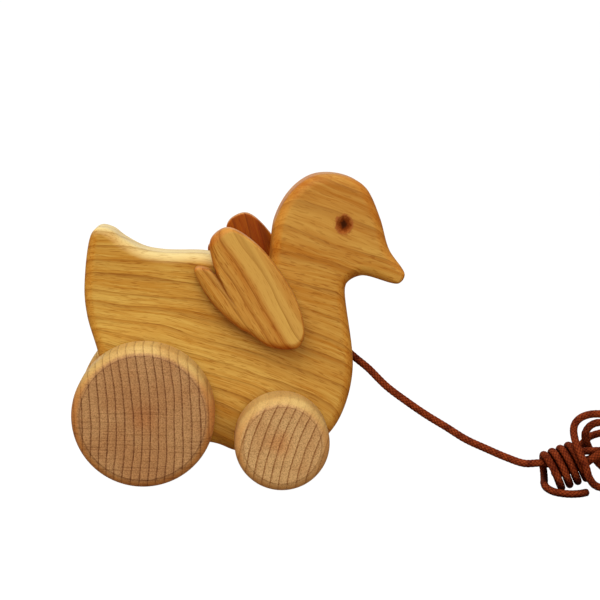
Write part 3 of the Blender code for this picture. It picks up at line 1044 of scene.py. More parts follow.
@dataclass(frozen=True)
class BraidedCord:
    """Waxed braided cord: reddish brown threads, with painted shade in the valleys of the braid and between
    the turns.

    Attributes:
        name: The material's name.
        strands: How many strands run each way round the cord.
        pitch: The length of one hill of the braid, in millimetres.
        light: The lightest thread.
        dark: The darkest thread.
        valley: What the painted shade in the valleys of the braid lets through.
        deep: What the shaded places between the turns let through.
    """

    TONE: ClassVar[Triple] = (0.35, 0.35, 0.35)
    THREAD: ClassVar[Triple] = (60.0, 2.6, 1.0)
    THREAD_EDGE: ClassVar[Span] = (0.46, 0.82)
    VALLEY_SHADE_EDGE: ClassVar[Span] = (0.75, 0.15)
    DEEP_EDGE: ClassVar[Span] = (0.85, 0.15)
    SHADE_REACH: ClassVar[float] = 12.0 * MM
    RELIEF: ClassVar[float] = 0.12 * MM
    GLOSS: ClassVar[float] = 0.03

    name: str
    strands: int
    pitch: float
    light: Colour = (0.315, 0.057, 0.014)
    dark: Colour = (0.085, 0.009, 0.003)
    valley: Colour = (0.40, 0.28, 0.22)
    deep: Colour = (0.20, 0.09, 0.06)

    def make(self) -> bpy.types.Material:
        """The finish, which follows the cord's own map of its braid.

        Returns:
            The material.
        """
        graph = NodeGraph(self.name)
        around, along, _ = graph.split(graph.node("TexCoord").outputs["UV"])
        turn = graph.times(around, float(self.strands))
        run = graph.math("DIVIDE", along, self.pitch)
        hills = []
        for sign in (1.0, -1.0):
            phase = graph.math("FRACT", graph.math("MULTIPLY_ADD", run, sign, turn))
            hills.append(graph.math("SINE", graph.times(phase, math.pi)))
        hill = graph.math("SQRT", graph.times(*hills))
        tone = graph.noise(graph.split(graph.place()), self.TONE, detail=3.0)
        thread = graph.noise((around, along, 0.0), self.THREAD, detail=3.0)
        mixed = graph.step(graph.sum((tone, 0.6), (thread, 0.7)), *self.THREAD_EDGE)
        colour = graph.mix(mixed, self.dark, self.light)
        # Painted shade in the valleys of the braid.
        colour = graph.tint(graph.step(hill, *self.VALLEY_SHADE_EDGE), colour, self.valley)
        # Painted shade: ambient occlusion darkens the colour where the turns crowd each other.
        open_share = graph.node("AmbientOcclusion", Distance=self.SHADE_REACH).outputs["AO"]
        colour = graph.tint(graph.step(open_share, *self.DEEP_EDGE), colour, self.deep)
        relief = graph.sum((hill, 1.0), (thread, 0.45))
        graph.set(Base_Color=colour, Roughness=graph.sum((thread, 0.2), (1.0, 0.6)),
                  Normal=graph.bump(relief, self.RELIEF), Specular_IOR_Level=self.GLOSS)
        return graph.material


# Pieces


@dataclass
class Fit:
    """Sizes that more than one piece of the toy depends on, in metres."""

    body_thick: float = 21.0 * MM
    clearance: float = 0.3 * MM
    pivot_radius: float = 3.0 * MM
    pivot_in_body: float = 8.0 * MM
    pivot_in_wing: float = 5.0 * MM
    pivot: Spot = (15.7 * MM, 56.5 * MM)
    axle_radius: float = 3.0 * MM
    axle_in_wheel: float = 12.0 * MM
    cord_diameter: float = 2.8 * MM
    cord_exit: Triple = (40.9 * MM, 0.0, 45.2 * MM)
    cord_slope: float = math.radians(39.0)
    cord_bore_depth: float = 12.0 * MM

    @property
    def cord_way(self) -> np.ndarray:
        """The way the cord leaves the chest."""
        return np.array((math.cos(self.cord_slope), 0.0, -math.sin(self.cord_slope)))


@dataclass
class WheelSize:
    """The place and size of one pair of wheels, in metres."""

    pair: Pair
    x: float
    radius: float
    thick: float = 18.0 * MM
    side_gap: float = 1.0 * MM

    @property
    def middle(self) -> Spot:
        """The wheels' middle in x and z, in millimetres."""
        return self.x / MM, self.radius / MM


@dataclass
class BirdBoard:
    """The bird's board: its outline, rounded edges, two eyes and the holes that other pieces sit in."""

    fit: Fit
    wheels: Sequence[WheelSize]
    edge_round: float = 4.0 * MM
    edge_steps: int = 10
    spacing: float = 1.0 * MM
    eye_x: float = 35.5 * MM
    eye_z: float = 93.25 * MM
    eye_width: float = 5.6 * MM
    eye_height: float = 6.6 * MM
    eye_depth: float = 0.9 * MM
    eye_cutter_depth: float = 2.2 * MM
    eye_brim: float = 0.005 * MM
    eye_slack: float = 1.1
    grain: Grain = Grain(fall=0.09, bend=0.0006, twist=-0.006, level=80.0, lean=0.6,
                         swing_at=(0.0, 0.0, 125.0), swing_height=-16.0, swing_radius=62.0, wander=6.0)
    outline: tuple[Spot, ...] = (
        (-50.3, 43.0), (-54.8, 57.4), (-56.0, 68.1), (-53.8, 86.9), (-51.3, 89.1), (-46.9, 88.4),
        (-42.8, 85.6), (-35.5, 82.0), (-28.2, 80.9), (-12.5, 80.9), (-5.8, 79.0), (5.2, 73.7),
        (8.8, 76.0), (11.2, 94.0), (16.6, 104.3), (23.6, 109.8), (30.9, 111.0), (38.3, 109.5),
        (43.4, 106.0), (48.6, 95.8), (52.3, 84.7), (58.1, 75.9), (56.0, 72.7), (42.7, 74.9),
        (38.0, 72.5), (37.1, 70.3), (41.1, 41.5), (38.5, 26.5), (33.8, 17.5), (25.2, 9.8),
        (12.2, 7.7), (-0.8, 9.9), (-7.8, 12.3), (-33.8, 14.0), (-41.8, 18.0), (-46.8, 25.5),
    )

    def build(self) -> bpy.types.Object:
        """Models the board and cuts its eyes and holes.

        Returns:
            The board.
        """
        half = self.fit.body_thick / 2.0
        line = SmoothLine.closed(np.array(self.outline) * MM, self.spacing)
        rings = BoardEdge(line).rings((-half, half), (self.edge_round,) * 2, self.edge_steps)
        board = Bench.loft("bird_board", rings)
        through = self.fit.body_thick
        for wheel in self.wheels:
            Bench.cut(board, Bench.rod((wheel.x, -through, wheel.radius), (wheel.x, through, wheel.radius),
                                       self.fit.axle_radius + self.fit.clearance))
        for side in Side:
            self.cut_side(board, side, half)
        way, end = self.fit.cord_way, np.array(self.fit.cord_exit)
        Bench.cut(board, Bench.rod(end - way * self.fit.cord_bore_depth, end + way * self.fit.cord_bore_depth,
                                   self.fit.cord_diameter / 2.0 + self.fit.clearance))
        Bench.soften(board)
        return board

    def cut_side(self, board: bpy.types.Object, side: Side, half: float) -> None:
        """Cuts the eye and the wing's blind hole on one side.

        Args:
            board: The board to cut.
            side: The side of the toy.
            half: Half of the board's thickness.
        """
        x, z = self.fit.pivot
        depth = half - self.fit.pivot_in_body - self.fit.clearance
        Bench.cut(board, Bench.rod((x, side.value * depth, z), (x, side.value * 2.0 * half, z),
                                   self.fit.pivot_radius + self.fit.clearance))
        stand_off = self.eye_cutter_depth - self.eye_depth
        share = math.sqrt(1.0 - (stand_off / self.eye_cutter_depth) ** 2)
        size = (self.eye_width / 2.0 / share, self.eye_cutter_depth, self.eye_height / 2.0 / share)
        Bench.cut(board, Bench.egg((self.eye_x, side.value * (half + stand_off), self.eye_z), size))

    def dress_eyes(self, board: bpy.types.Object, eye: BurntEye) -> None:
        """Gives the faces inside the two dimples the burnt finish.

        Args:
            board: The board with its first finish.
            eye: The burnt eye.
        """
        board.data.materials.append(eye.make())
        half = self.fit.body_thick / 2.0
        # The faces of a dimple lie under its brim, and none much deeper than its bottom.
        bottom, brim = half - self.eye_slack * self.eye_depth, half - self.eye_brim
        for face in board.data.polygons:
            x, y, z = face.center
            off = math.hypot((x - self.eye_x) / (self.eye_width / 2.0),
                             (z - self.eye_z) / (self.eye_height / 2.0))
            if off < 1.0 and bottom < abs(y) < brim:
                face.material_index = 1

    def dress(self, board: bpy.types.Object) -> None:
        """Oils the board, seats it on its body and lets it stand for its CAD node.

        Args:
            board: The modelled board.
        """
        eye = BurntEye((self.eye_x / MM, self.eye_z / MM))
        Bench.dress(board, OiledBoard("oiled board", self.grain, eye=eye).make())
        self.dress_eyes(board, eye)
        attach(board, "body")
        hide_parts("chick_body")


@dataclass
class Wing:
    """One wing: a flat board with a long lobe, a short one and a crease between them."""

    fit: Fit
    side: Side
    lift: float = 0.0
    thick: float = 8.0 * MM
    outer_round: float = 3.0 * MM
    upper_round: float = 1.0 * MM
    upper_way: float = math.radians(33.0)
    upper_facing: Span = (0.3, 0.85)
    inner_round: float = 0.8 * MM
    edge_steps: int = 9
    spacing: float = 0.6 * MM
    crease_width: float = 3.4 * MM
    crease_depth: float = 1.5 * MM
    crease_end: float = 0.08
    grain_angle: float = math.radians(122.0)
    grain_fall: float = -0.25
    grain_bend: float = 0.002
    grain_lean: float = 0.4
    year: float = 5.2
    pale_run: Span = (-55.6, 3.8)
    # How strong the painted pale sheen is on the wing's upper edges.
    worn_share: float = 0.2
    light: Colour = (0.63, 0.340, 0.064)
    dark: Colour = (0.465, 0.163, 0.014)
    # The end tint also falls on the wing's rounded edges as painted warm shade.
    end: Colour = (0.94, 0.62, 0.37)
    outline: tuple[Spot, ...] = (
        (-11.9, 85.3), (-10.4, 88.5), (-5.6, 91.1), (5.9, 84.5), (19.9, 65.4), (22.5, 54.1),
        (21.2, 50.2), (18.8, 48.8), (10.2, 49.5), (2.7, 54.2), (-0.2, 55.5), (-11.1, 65.1),
        (-16.9, 75.9), (-16.0, 77.0), (-12.2, 76.5), (-9.5, 74.8), (-10.4, 78.0),
    )
    crease: tuple[Spot, ...] = ((-11.0, 77.4), (-9.0, 73.9), (-5.4, 68.2), (-1.5, 63.2))

    @property
    def name(self) -> str:
        """The wing's name, which its CAD node and its body share."""
        return self.side.word + "_wing"

    def lifted(self, points: Sequence[Spot]) -> np.ndarray:
        """Points of the wing, turned about its pivot by its lift.

        Args:
            points: Points in x and z of a wing that isn't lifted, in millimetres.

        Returns:
            The turned points, in metres.
        """
        away = np.array(points) * MM - self.fit.pivot
        cos, sin = math.cos(self.lift), math.sin(self.lift)
        return away @ np.array(((cos, -sin), (sin, cos))) + self.fit.pivot

    def groove(self, face: float) -> bpy.types.Object:
        """The crease's cutter, narrower and shallower as it runs on from the notch.

        Args:
            face: The y of the wing's outer face.

        Returns:
            The cutter.
        """
        path = SmoothLine.open(self.lifted(self.crease), self.spacing)
        along = np.gradient(path, axis=0)
        across = np.stack([along[:, 1], -along[:, 0]], axis=1)
        across /= np.linalg.norm(across, axis=1)[:, None]
        out = self.side.value * self.crease_depth
        rings = []
        for point, normal, share in zip(path, across, np.linspace(1.0, self.crease_end, len(path))):
            reach = normal * self.crease_width * share
            corners = (point - reach, point + reach, point)
            depths = (face + out, face + out, face - out * share)
            rings.append(np.array([(corner[0], depth, corner[1]) for corner, depth in zip(corners, depths)]))
        return Bench.loft("crease", rings)

    def build(self) -> bpy.types.Object:
        """Models the wing, its crease and the blind hole for its pivot.

        Returns:
            The wing.
        """
        inner = self.side.value * (self.fit.body_thick / 2.0 + self.fit.clearance)
        outer = inner + self.side.value * self.thick
        line = SmoothLine.closed(self.lifted(self.outline), self.spacing)
        edge = BoardEdge(line)
        way = self.upper_way - self.lift
        facing = edge.inward() @ -np.array((math.cos(way), math.sin(way)))
        outer_round = np.interp(facing, self.upper_facing, (self.outer_round, self.upper_round))
        rings = edge.rings((inner, outer), (self.inner_round, outer_round), self.edge_steps)
        wing = Bench.loft(self.side.word + "_wing_board", rings)
        Bench.cut(wing, self.groove(outer))
        x, z = self.fit.pivot
        depth = inner + self.side.value * (self.fit.pivot_in_wing + self.fit.clearance)
        Bench.cut(wing, Bench.rod((x, inner - self.side.value * self.thick, z), (x, depth, z),
                                  self.fit.pivot_radius + self.fit.clearance))
        Bench.soften(wing)
        return wing

    def dress(self, wing: bpy.types.Object) -> None:
        """Oils the wing, seats it on its body and lets it stand for its CAD node.

        Args:
            wing: The modelled wing.
        """
        grain = Grain(angle=self.grain_angle - self.lift, fall=self.grain_fall, bend=self.grain_bend,
                      lean=-self.grain_lean * self.side.value)
        groove = self.lifted(self.crease) / MM
        finish = OiledBoard(self.name.replace("_", " "), grain, light=self.light, dark=self.dark,
                            end=self.end, worn_share=self.worn_share, inner_shade_side=-float(self.side.value),
                            year=self.year, pale_run=self.pale_run,
                            groove=(tuple(groove[0]), tuple(groove[-1])))
        Bench.dress(wing, finish.make())
        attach(wing, self.name)
        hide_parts(self.name)
        self.name


@dataclass
class TurnedWheel:
    """One turned wheel: a plain outer face, a full round to its rim and a blind bore on its inner face."""

    fit: Fit
    size: WheelSize
    side: Side
    sides: int = 160
    rim_steps: int = 12
    rim_radius: float = 4.6 * MM
    rim_turn: float = math.radians(76.0)
    inner_round: float = 3.0 * MM

    def profile(self) -> list[Span]:
        """The wheel's profile, from the bottom of the bore to the outer face.

        Returns:
            The radius and the height above the inner face of each of its points.
        """
        bore = self.fit.axle_radius + self.fit.clearance
        points = [(bore, self.fit.axle_in_wheel + self.fit.clearance), (bore, 0.0)]
        for k in range(self.rim_steps + 1):
            turn = 0.5 * math.pi * k / self.rim_steps
            points.append((self.size.radius - self.inner_round * (1.0 - math.sin(turn)),
                           self.inner_round * (1.0 - math.cos(turn))))
        start = self.size.thick - self.rim_radius * math.sin(self.rim_turn)
        for k in range(self.rim_steps + 1):
            turn = self.rim_turn * k / self.rim_steps
            points.append((self.size.radius - self.rim_radius * (1.0 - math.cos(turn)),
                           start + self.rim_radius * math.sin(turn)))
        return points

    @property
    def name(self) -> str:
        """The wheel's name, which its CAD node shares."""
        return f"{self.size.pair.value}_wheel_{self.side.word}"

    def build(self) -> bpy.types.Object:
        """Turns the wheel from its profile.

        Returns:
            The wheel.
        """
        around = np.linspace(0.0, 2.0 * math.pi, self.sides, endpoint=False)
        inner = self.fit.body_thick / 2.0 + self.size.side_gap
        rings = []
        for radius, height in self.profile():
            rings.append(np.stack([self.size.x + radius * np.cos(around),
                                   np.full(self.sides, self.side.value * (inner + height)),
                                   self.size.radius + radius * np.sin(around)], axis=1))
        wheel = Bench.loft("turned_" + self.name, rings)
        Bench.soften(wheel)
        return wheel

    def dress(self, wheel: bpy.types.Object, material: bpy.types.Material) -> None:
        """Finishes the wheel, seats it on its pair's body and lets it stand for its CAD node.

        Args:
            wheel: The modelled wheel.
            material: The pair's finish.
        """
        Bench.dress(wheel, material)
        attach(wheel, self.size.pair.value + "_wheels")
        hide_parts(self.name)
        self.name


@dataclass(frozen=True)
class Loop:
    """One loop of the hank, in millimetres and degrees.

    Attributes:
        along: The place of its root along the bundle.
        up: The place of its root across the bundle.
        start_depth: How far back it starts.
        end_depth: How far back it ends.
        long_radius: Half of its length.
        cross_radius: Half of its height.
        swell: How much fuller it is at its far end.
        lean: The rise of its long axis.
        first: The angle at which it starts.
        last: The angle at which it ends.
        points: How many points it is worked out at.
    """

    along: float
    up: float
    start_depth: float
    end_depth: float
    long_radius: float
    cross_radius: float
    swell: float
    lean: float
    first: float
    last: float
    points: int


@dataclass
class PullCord:
    """The pull cord: out of the chest, down to the floor, and gathered into a hank bound by its own end.

    The sizes of its route, loops, turns, strands and rounded end are in millimetres, the others in metres.
    """

    fit: Fit
    length: float = 0.70
    straight_out: float = 2.5
    lead_route: tuple[Triple, ...] = (
        (47.1, -1.6, 40.5), (53.8, -3.4, 34.4), (61.1, -5.4, 29.4), (68.4, -7.3, 24.9),
        (75.6, -9.2, 21.0), (82.8, -11.1, 17.0), (90.0, -13.1, 14.2), (97.0, -15.2, 11.7),
    )
    hank_start: Triple = (106.4, -17.4, 10.3)
    hank_start_rise: float = math.radians(3.0)
    bind_centre: Triple = (113.1, -17.4, 7.3)
    bind_tilt: float = math.radians(23.0)
    bind_radius: float = 6.6
    bind_pitch: float = 3.14
    bind_first_turn: float = 3.70
    bind_last_turn: float = -0.14
    turn_points: int = 12
    core_spread: float = 3.2
    core_drop: float = 1.0
    floor_height: float = 1.5
    floor_ease: float = 2.0
    core_in: tuple[Triple, ...] = (
        (2.0, 0.0, 2.3), (6.0, 0.0, 2.2), (9.5, 0.0, 2.4), (13.0, 0.0, 2.8))
    fold_turn: float = 4.4
    fold_ends: Span = (7.5, 11.0)
    to_front_loop: tuple[Triple, ...] = (
        (11.0, -7.3, 7.0), (11.2, -9.8, 0.6), (11.0, -9.7, -4.5), (12.8, -8.8, -8.6))
    to_binding: tuple[Triple, ...] = ((20.0, 12.2, 3.6), (16.2, 11.4, 2.6), (13.1, 9.1, 0.6))
    front_small_loop: Loop = Loop(
        along=17.2, up=0.3, start_depth=0.0, end_depth=-3.4, long_radius=7.5, cross_radius=10.6, swell=0.15,
        lean=80.0, first=236.0, last=452.0, points=12)
    front_large_loop: Loop = Loop(
        along=18.4, up=-0.4, start_depth=-8.2, end_depth=-4.7, long_radius=25.0, cross_radius=12.0, swell=0.2,
        lean=2.0, first=255.0, last=496.0, points=17)
    back_small_loop: Loop = Loop(
        along=17.8, up=-1.2, start_depth=3.6, end_depth=5.0, long_radius=6.0, cross_radius=6.8, swell=0.08,
        lean=66.0, first=235.0, last=466.0, points=12)
    back_large_loop: Loop = Loop(
        along=18.0, up=-1.0, start_depth=8.2, end_depth=12.0, long_radius=26.0, cross_radius=12.0, swell=0.2,
        lean=-5.0, first=200.0, last=484.0, points=20)
    tail_route: tuple[Triple, ...] = (
        (111.6, -10.5, 8.0), (112.0, -10.9, 5.0), (111.6, -14.0, 3.4), (110.7, -18.4, 3.3),
        (110.9, -21.8, 2.5), (113.2, -24.5, 1.7), (117.8, -26.4, 1.5), (122.2, -25.5, 1.5),
        (125.0, -23.4, 1.5))
    ring_step: float = 0.32 * MM
    ring_sides: int = 32
    strands: int = 6
    strand_pitch: float = 1.5
    relief: float = 0.11 * MM
    end_round: tuple[Span, ...] = ((0.10, 0.97), (0.22, 0.88), (0.30, 0.70), (0.34, 0.40))
    end_tip: float = 0.35

    def bind_point(self, along: float, back: float, up: float) -> np.ndarray:
        """A point of the hank, in millimetres, from its place along the tilted bundle."""
        cos, sin = math.cos(self.bind_tilt), math.sin(self.bind_tilt)
        return np.array(self.bind_centre) + (cos * along - sin * up, back, sin * along + cos * up)

    def loop_points(self, loop: Loop) -> list[np.ndarray]:
        """One loop, fuller at its far end, that starts and ends near its root as its depth eases over.

        Args:
            loop: The loop's root, sizes and angles.

        Returns:
            Its points, none of them under the floor.
        """
        root = self.bind_point(loop.along, 0.0, loop.up)
        lean = math.radians(loop.lean)
        points = []
        for part in np.linspace(0.0, 1.0, loop.points):
            angle = math.radians(loop.first + (loop.last - loop.first) * part)
            out = loop.long_radius * (1.0 + math.cos(angle))
            across = loop.cross_radius * math.sin(angle) * (1.0 + loop.swell * math.cos(angle))
            ease = part * part * (3.0 - 2.0 * part)
            point = root + np.array((out * math.cos(lean) - across * math.sin(lean),
                                     loop.start_depth + (loop.end_depth - loop.start_depth) * ease,
                                     out * math.sin(lean) + across * math.cos(lean)))
            above = point[2] - self.floor_height
            point[2] = self.floor_height + (above + math.hypot(above, self.floor_ease)) / 2.0
            points.append(point)
        return points

    def fold_points(self) -> list[np.ndarray]:
        """Back through the binding on one side, round, and out again on the other.

        Returns:
            The points of the fold.
        """
        back, out = ([self.bind_point(along, depth, -self.core_drop) for along in self.fold_ends]
                     for depth in (-self.core_spread, self.core_spread))
        points = back[::-1]
        for angle in np.linspace(-math.pi / 2.0, math.pi / 2.0, self.turn_points // 2 + 1):
            points.append(self.bind_point(self.fold_turn - self.core_spread * math.cos(angle),
                                          self.core_spread * math.sin(angle), -self.core_drop))
        return points + out

    def binding_points(self) -> list[np.ndarray]:
        """The turns that hold the bundle, from the loops back to the side where the lead comes in.

        Returns:
            The points of the turns.
        """
        count = round((self.bind_first_turn - self.bind_last_turn) * self.turn_points)
        points = []
        for turn in np.linspace(self.bind_first_turn, self.bind_last_turn, count):
            angle = 2.0 * math.pi * turn
            points.append(self.bind_point(self.bind_pitch * turn, -self.bind_radius * math.sin(angle),
                                          self.bind_radius * math.cos(angle)))
        return points

    def route(self) -> np.ndarray:
        """The whole route, from the blind end of the chest bore to the cut end.

        Returns:
            Its points in metres, at equal steps.
        """
        way, end = self.fit.cord_way, np.array(self.fit.cord_exit) / MM
        diameter, clearance = self.fit.cord_diameter / MM, self.fit.clearance / MM
        bore = self.fit.cord_bore_depth / MM - clearance
        rise = np.array((math.cos(self.hank_start_rise), 0.0, math.sin(self.hank_start_rise)))
        start = np.array(self.hank_start)
        points = [end - way * bore, end - way * bore / 2.0, end, end + way * self.straight_out]
        points += [np.array(point) for point in self.lead_route]
        points += [start - rise * (diameter + clearance), start + rise * diameter]
        points += [self.bind_point(*place) for place in self.core_in]
        points += self.loop_points(self.front_small_loop)
        points += [self.bind_point(*place) for place in self.to_front_loop]
        points += self.loop_points(self.front_large_loop)
        points += self.fold_points()
        points += self.loop_points(self.back_small_loop) + self.loop_points(self.back_large_loop)
        points += [self.bind_point(*place) for place in self.to_binding]
        points += self.binding_points()
        points += [np.array(point) for point in self.tail_route]
        return SmoothLine.open(np.array(points) * MM, self.ring_step)

    def braid(self, around: np.ndarray, along: float) -> np.ndarray:
        """How high the braid stands round one ring.

        Args:
            around: The places round the ring, from nought to one.
            along: The place along the cord, in millimetres.

        Returns:
            Heights from nought in a valley to one on a hill.
        """
        run = along / self.strand_pitch
        one = np.sin(math.pi * np.mod(around * self.strands + run, 1.0))
        two = np.sin(math.pi * np.mod(around * self.strands - run, 1.0))
        return np.sqrt(np.abs(one * two))

    def frames(self, path: np.ndarray) -> tuple[np.ndarray, np.ndarray]:
        """Two directions square to the path at each point, carried along it without twist.

        Args:
            path: The points of the path.

        Returns:
            The first and the second direction at each point.
        """
        along = np.gradient(path, axis=0)
        along /= np.linalg.norm(along, axis=1)[:, None]
        first = np.empty_like(path)
        side = np.cross(along[0], WIDTH)
        for i, way in enumerate(along):
            side = side - way * (side @ way)
            side /= np.linalg.norm(side)
            first[i] = side
        return first, np.cross(along, first)

    def build(self) -> tuple[bpy.types.Object, np.ndarray]:
        """Models the cord as one braided tube with its ends closed.

        Returns:
            The cord and the points that it follows.
        """
        path = self.route()
        run = SmoothLine.run(path) / MM
        first, second = self.frames(path)
        radius = self.fit.cord_diameter / 2.0
        around = np.arange(self.ring_sides) / self.ring_sides
        cos, sin = np.cos(2.0 * math.pi * around), np.sin(2.0 * math.pi * around)
        rings, runs = [], []
        for point, one, two, length in zip(path, first, second, run):
            reach = radius - self.relief * (1.0 - self.braid(around, length))
            rings.append(point + reach[:, None] * (cos[:, None] * one + sin[:, None] * two))
            runs.append(length)
        ahead = (path[-1] - path[-2]) / np.linalg.norm(path[-1] - path[-2])
        for advance, share in self.end_round:
            rings.append(path[-1] + ahead * advance * MM + (rings[len(path) - 1] - path[-1]) * share)
            runs.append(runs[-1] + advance)
        verts = np.concatenate([*rings, path[:1], path[-1:] + ahead * self.end_tip * MM])
        count, sides = len(rings), self.ring_sides
        index = np.arange(count * sides).reshape(count, sides)
        after = np.roll(index, -1, axis=1)
        quads = np.stack([index[:-1], after[:-1], after[1:], index[1:]], axis=2).reshape(-1, 4)
        caps = [(count * sides, after[0, k], index[0, k]) for k in range(sides)]
        caps += [(count * sides + 1, index[-1, k], after[-1, k]) for k in range(sides)]
        mesh = bpy.data.meshes.new("pull_cord")
        mesh.from_pydata(verts.tolist(), [], quads.tolist() + caps)
        cord = bpy.data.objects.new("pull_cord", mesh)
        bpy.context.scene.collection.objects.link(cord)
        self.unwrap(mesh, np.array(runs), len(quads))
        Bench.take(cord)
        bpy.ops.object.shade_smooth()
        return cord, path

    def unwrap(self, mesh: bpy.types.Mesh, runs: np.ndarray, quads: int) -> None:
        """Lays the map of the braid: turns round the cord, and millimetres along it.

        Args:
            mesh: The cord's mesh.
            runs: The length along the cord of each ring.
            quads: How many faces of the mesh are quads of the tube.
        """
        layer = mesh.uv_layers.new(name="braid")
        uv = np.zeros((len(mesh.loops), 2), np.float32)
        sides = self.ring_sides
        face = np.arange(quads)
        ring, seat = face // sides, face % sides
        for corner, (step, turn) in enumerate(((0, 0), (0, 1), (1, 1), (1, 0))):
            uv[4 * face + corner, 0] = (seat + turn) / sides
            uv[4 * face + corner, 1] = runs[ring + step]
        uv[4 * quads:, 1] = runs[-1]
        layer.data.foreach_set("uv", uv.ravel())

    def dress(self, cord: bpy.types.Object, path: np.ndarray) -> None:
        """Finishes the cord and lets it stand for its two CAD nodes.

        Args:
            cord: The modelled cord.
            path: The points that it follows; not used.
        """
        Bench.dress(cord, BraidedCord("braided cord", self.strands, self.strand_pitch).make())
        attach(cord, "body")
        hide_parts("pull_cord_lead", "pull_cord_hank")


# Studio


@dataclass(frozen=True)
class SoftLight:
    """One square soft light.

    Attributes:
        name: The light's name.
        place: Where it hangs, in metres.
        size: The length of its sides, in metres.
        power: Its power in watts.
        colour: The colour of its light.
    """

    name: str
    place: Triple
    size: float
    power: float
    colour: Colour = (1.0, 1.0, 1.0)

    def hang(self, target: Triple) -> None:
        """Hangs the light.

        Args:
            target: What it looks at.
        """
        data = bpy.data.lights.new(self.name, "AREA")
        data.shape = "SQUARE"
        data.size = self.size
        data.energy = self.power
        data.color = self.colour
        light = bpy.data.objects.new(self.name, data)
        light.location = self.place
        light.rotation_euler = (Vector(target) - Vector(self.place)).to_track_quat("-Z", "Y").to_euler()
        bpy.context.scene.collection.objects.link(light)


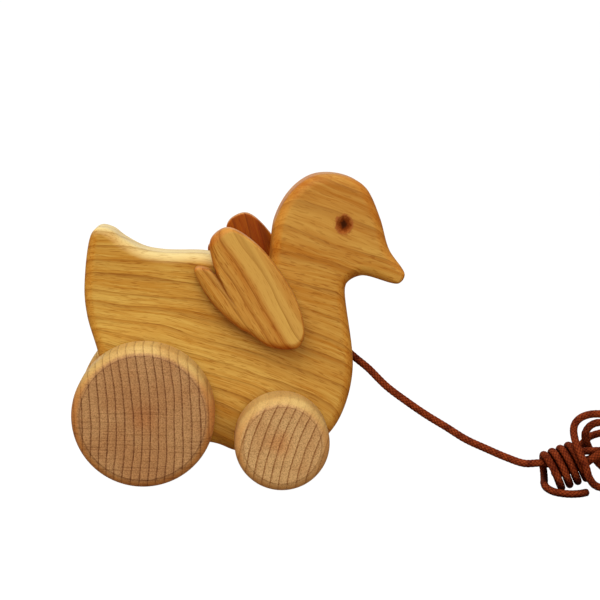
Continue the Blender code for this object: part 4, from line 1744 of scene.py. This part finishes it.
@dataclass
class Studio:
    """A white round room, soft lights and the camera, with sizes in metres."""

    floor_radius: float = 2.0
    wall_radius: float = 3.0
    wall_height: float = 2.6
    sweep_steps: int = 12
    room_sides: int = 96
    floor_cloud: float = 0.004
    floor_cloud_edge: Span = (0.3, 0.7)
    floor_tones: Span = (0.055, 0.065)
    sky_rise: Span = (-0.7, 0.9)
    sky_strength: Span = (0.22, 0.46)
    low_sky: Colour = (1.0, 0.74, 0.50)
    high_sky: Colour = (1.0, 1.0, 1.0)
    high_sky_from: float = 0.6
    lights_to: Triple = (0.0, 0.0, 0.06)
    lights: tuple[SoftLight, ...] = (
        SoftLight("key light", (-0.35, -0.75, 0.95), 0.8, 9.0, (1.0, 0.97, 0.93)),
        SoftLight("front light", (0.25, -1.3, 0.35), 0.9, 6.2),
        SoftLight("top light", (0.0, 0.15, 1.2), 0.7, 2.2),
        SoftLight("back light", (0.0, 1.3, 0.5), 1.4, 4.0),
    )
    camera_at: Triple = (-7.775 * MM, -575.918 * MM, 135.407 * MM)
    camera_to: Triple = (21.4 * MM, 0.0, 64.5 * MM)
    camera_roll: float = math.radians(2.16)
    camera_lens: float = 96.0
    camera_sensor: float = 36.0

    def build_room(self) -> None:
        """Models the floor with its sweep up into a round wall."""
        profile = [(self.floor_radius, 0.0)]
        sweep = self.wall_radius - self.floor_radius
        for k in range(1, self.sweep_steps + 1):
            turn = 0.5 * math.pi * k / self.sweep_steps
            profile.append((self.floor_radius + sweep * math.sin(turn), sweep * (1.0 - math.cos(turn))))
        profile.append((self.wall_radius, self.wall_height))
        Bench.clear()
        bpy.ops.mesh.primitive_circle_add(
            vertices=self.room_sides, radius=self.floor_radius, fill_type="NGON")
        room = bpy.context.active_object
        room.name = "studio_floor"
        bpy.ops.object.mode_set(mode="EDIT")
        bpy.ops.mesh.select_mode(type="EDGE")
        bpy.ops.mesh.select_all(action="SELECT")
        for (radius, height), (last_radius, last_height) in zip(profile[1:], profile):
            rise = (0.0, 0.0, height - last_height)
            bpy.ops.mesh.extrude_edges_move(TRANSFORM_OT_translate={"value": rise})
            share = radius / last_radius
            bpy.ops.transform.resize(value=(share, share, 1.0))
        bpy.ops.object.mode_set(mode="OBJECT")
        bpy.ops.object.shade_smooth_by_angle(angle=Bench.SMOOTH_ANGLE)
        graph = NodeGraph("studio floor")
        cloud = graph.noise(graph.split(graph.place()), (self.floor_cloud,) * 3)
        low, high = ((tone,) * 3 for tone in self.floor_tones)
        white = graph.mix(graph.step(cloud, *self.floor_cloud_edge), low, high)
        graph.set(Base_Color=white, Roughness=0.8, Specular_IOR_Level=0.0, Emission_Color=(1.0, 1.0, 1.0),
                  Emission_Strength=1.0)
        Bench.dress(room, graph.material)
        room.visible_diffuse = False
        room.visible_glossy = False

    def build_light(self) -> None:
        """Sets the sky of the room, brighter above, and hangs the soft lights."""
        world = bpy.data.worlds.new("studio light")
        bpy.context.scene.world = world
        world.use_nodes = True
        nodes, links = world.node_tree.nodes, world.node_tree.links
        split = nodes.new("ShaderNodeSeparateXYZ")
        ramp = nodes.new("ShaderNodeMapRange")
        limits = (*self.sky_rise, *self.sky_strength)
        for name, value in zip(("From Min", "From Max", "To Min", "To Max"), limits):
            ramp.inputs[name].default_value = value
        tint = nodes.new("ShaderNodeValToRGB")
        low, high = tint.color_ramp.elements
        low.color = (*self.low_sky, 1.0)
        high.position = self.high_sky_from
        high.color = (*self.high_sky, 1.0)
        links.new(nodes.new("ShaderNodeTexCoord").outputs["Generated"], split.inputs[0])
        links.new(split.outputs[2], ramp.inputs["Value"])
        links.new(ramp.outputs[0], nodes["Background"].inputs["Strength"])
        links.new(split.outputs[2], tint.inputs[0])
        links.new(tint.outputs[0], nodes["Background"].inputs["Color"])
        for light in self.lights:
            light.hang(self.lights_to)

    def build_camera(self) -> None:
        """Sets up the camera, which looks at the toy's right side from a little above."""
        data = bpy.data.cameras.new("camera")
        data.sensor_width = self.camera_sensor
        data.lens = self.camera_lens
        camera = bpy.data.objects.new("camera", data)
        look = (Vector(self.camera_to) - Vector(self.camera_at)).to_track_quat("-Z", "Y").to_matrix().to_4x4()
        camera.matrix_world = (Matrix.Translation(self.camera_at) @ look
                               @ Matrix.Rotation(self.camera_roll, 4, "Z"))
        bpy.context.scene.collection.objects.link(camera)
        scene = bpy.context.scene
        scene.camera = camera
        scene.view_settings.view_transform = "Standard"

    def build(self) -> None:
        """Builds the room, the light and the camera."""
        self.build_room()
        self.build_light()
        self.build_camera()


def dress_dowels() -> None:
    """Finishes the axles and pivots, which stay as the CAD made them."""
    material = DowelBeech("dowel beech").make()
    for name in ("rear_axle", "front_axle", "right_wing_pivot", "left_wing_pivot"):
        Bench.dress(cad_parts[name], material)
        log.info("%s keeps its CAD shape", name)


def report(piece: bpy.types.Object) -> None:
    """Logs a finished piece and its number of faces."""
    log.info("%s: %d faces", piece.name, len(piece.data.polygons))


def main() -> None:
    """Builds the studio, then each piece of the toy in turn."""
    logging.basicConfig(level=logging.INFO, format="%(message)s")
    fit = Fit()
    rear = WheelSize(Pair.REAR, -33.1 * MM, 25.0 * MM)
    front = WheelSize(Pair.FRONT, 15.75 * MM, 16.75 * MM)
    Studio().build()

    cord_maker = PullCord(fit)
    cord, path = cord_maker.build()
    cord_maker.dress(cord, path)
    log.info("%s: %.1f mm", cord.name, SmoothLine.run(path)[-1] / MM)

    bird = BirdBoard(fit, (rear, front))
    board = bird.build()
    bird.dress(board)
    report(board)

    for side, lift in ((Side.RIGHT, 0.0), (Side.LEFT, math.radians(11.0))):
        wing_maker = Wing(fit, side, lift)
        wing = wing_maker.build()
        wing_maker.dress(wing)
        report(wing)

    rear_wood = TurnedBeech(
        "rear wheel beech", rear.middle, pith=(-170.0, -10.0), year=2.9,
        face=(0.475, 0.255, 0.101), rim=(0.69, 0.45, 0.145))
    front_wood = TurnedBeech(
        "front wheel beech", front.middle, pith=(75.0, -22.0), year=3.1,
        face=(0.61, 0.37, 0.152), rim=(0.71, 0.475, 0.165), shaded_low_rim=(0.67, 0.35, 0.115),
        line=(0.50, 0.34, 0.20), rays=0.12, late=0.45, rim_lines=0.25)
    for size, wood in ((rear, rear_wood), (front, front_wood)):
        material = wood.make()
        for side in Side:
            wheel_maker = TurnedWheel(fit, size, side)
            wheel = wheel_maker.build()
            wheel_maker.dress(wheel, material)
            report(wheel)

    dress_dowels()


if __name__ == "__main__":
    main()
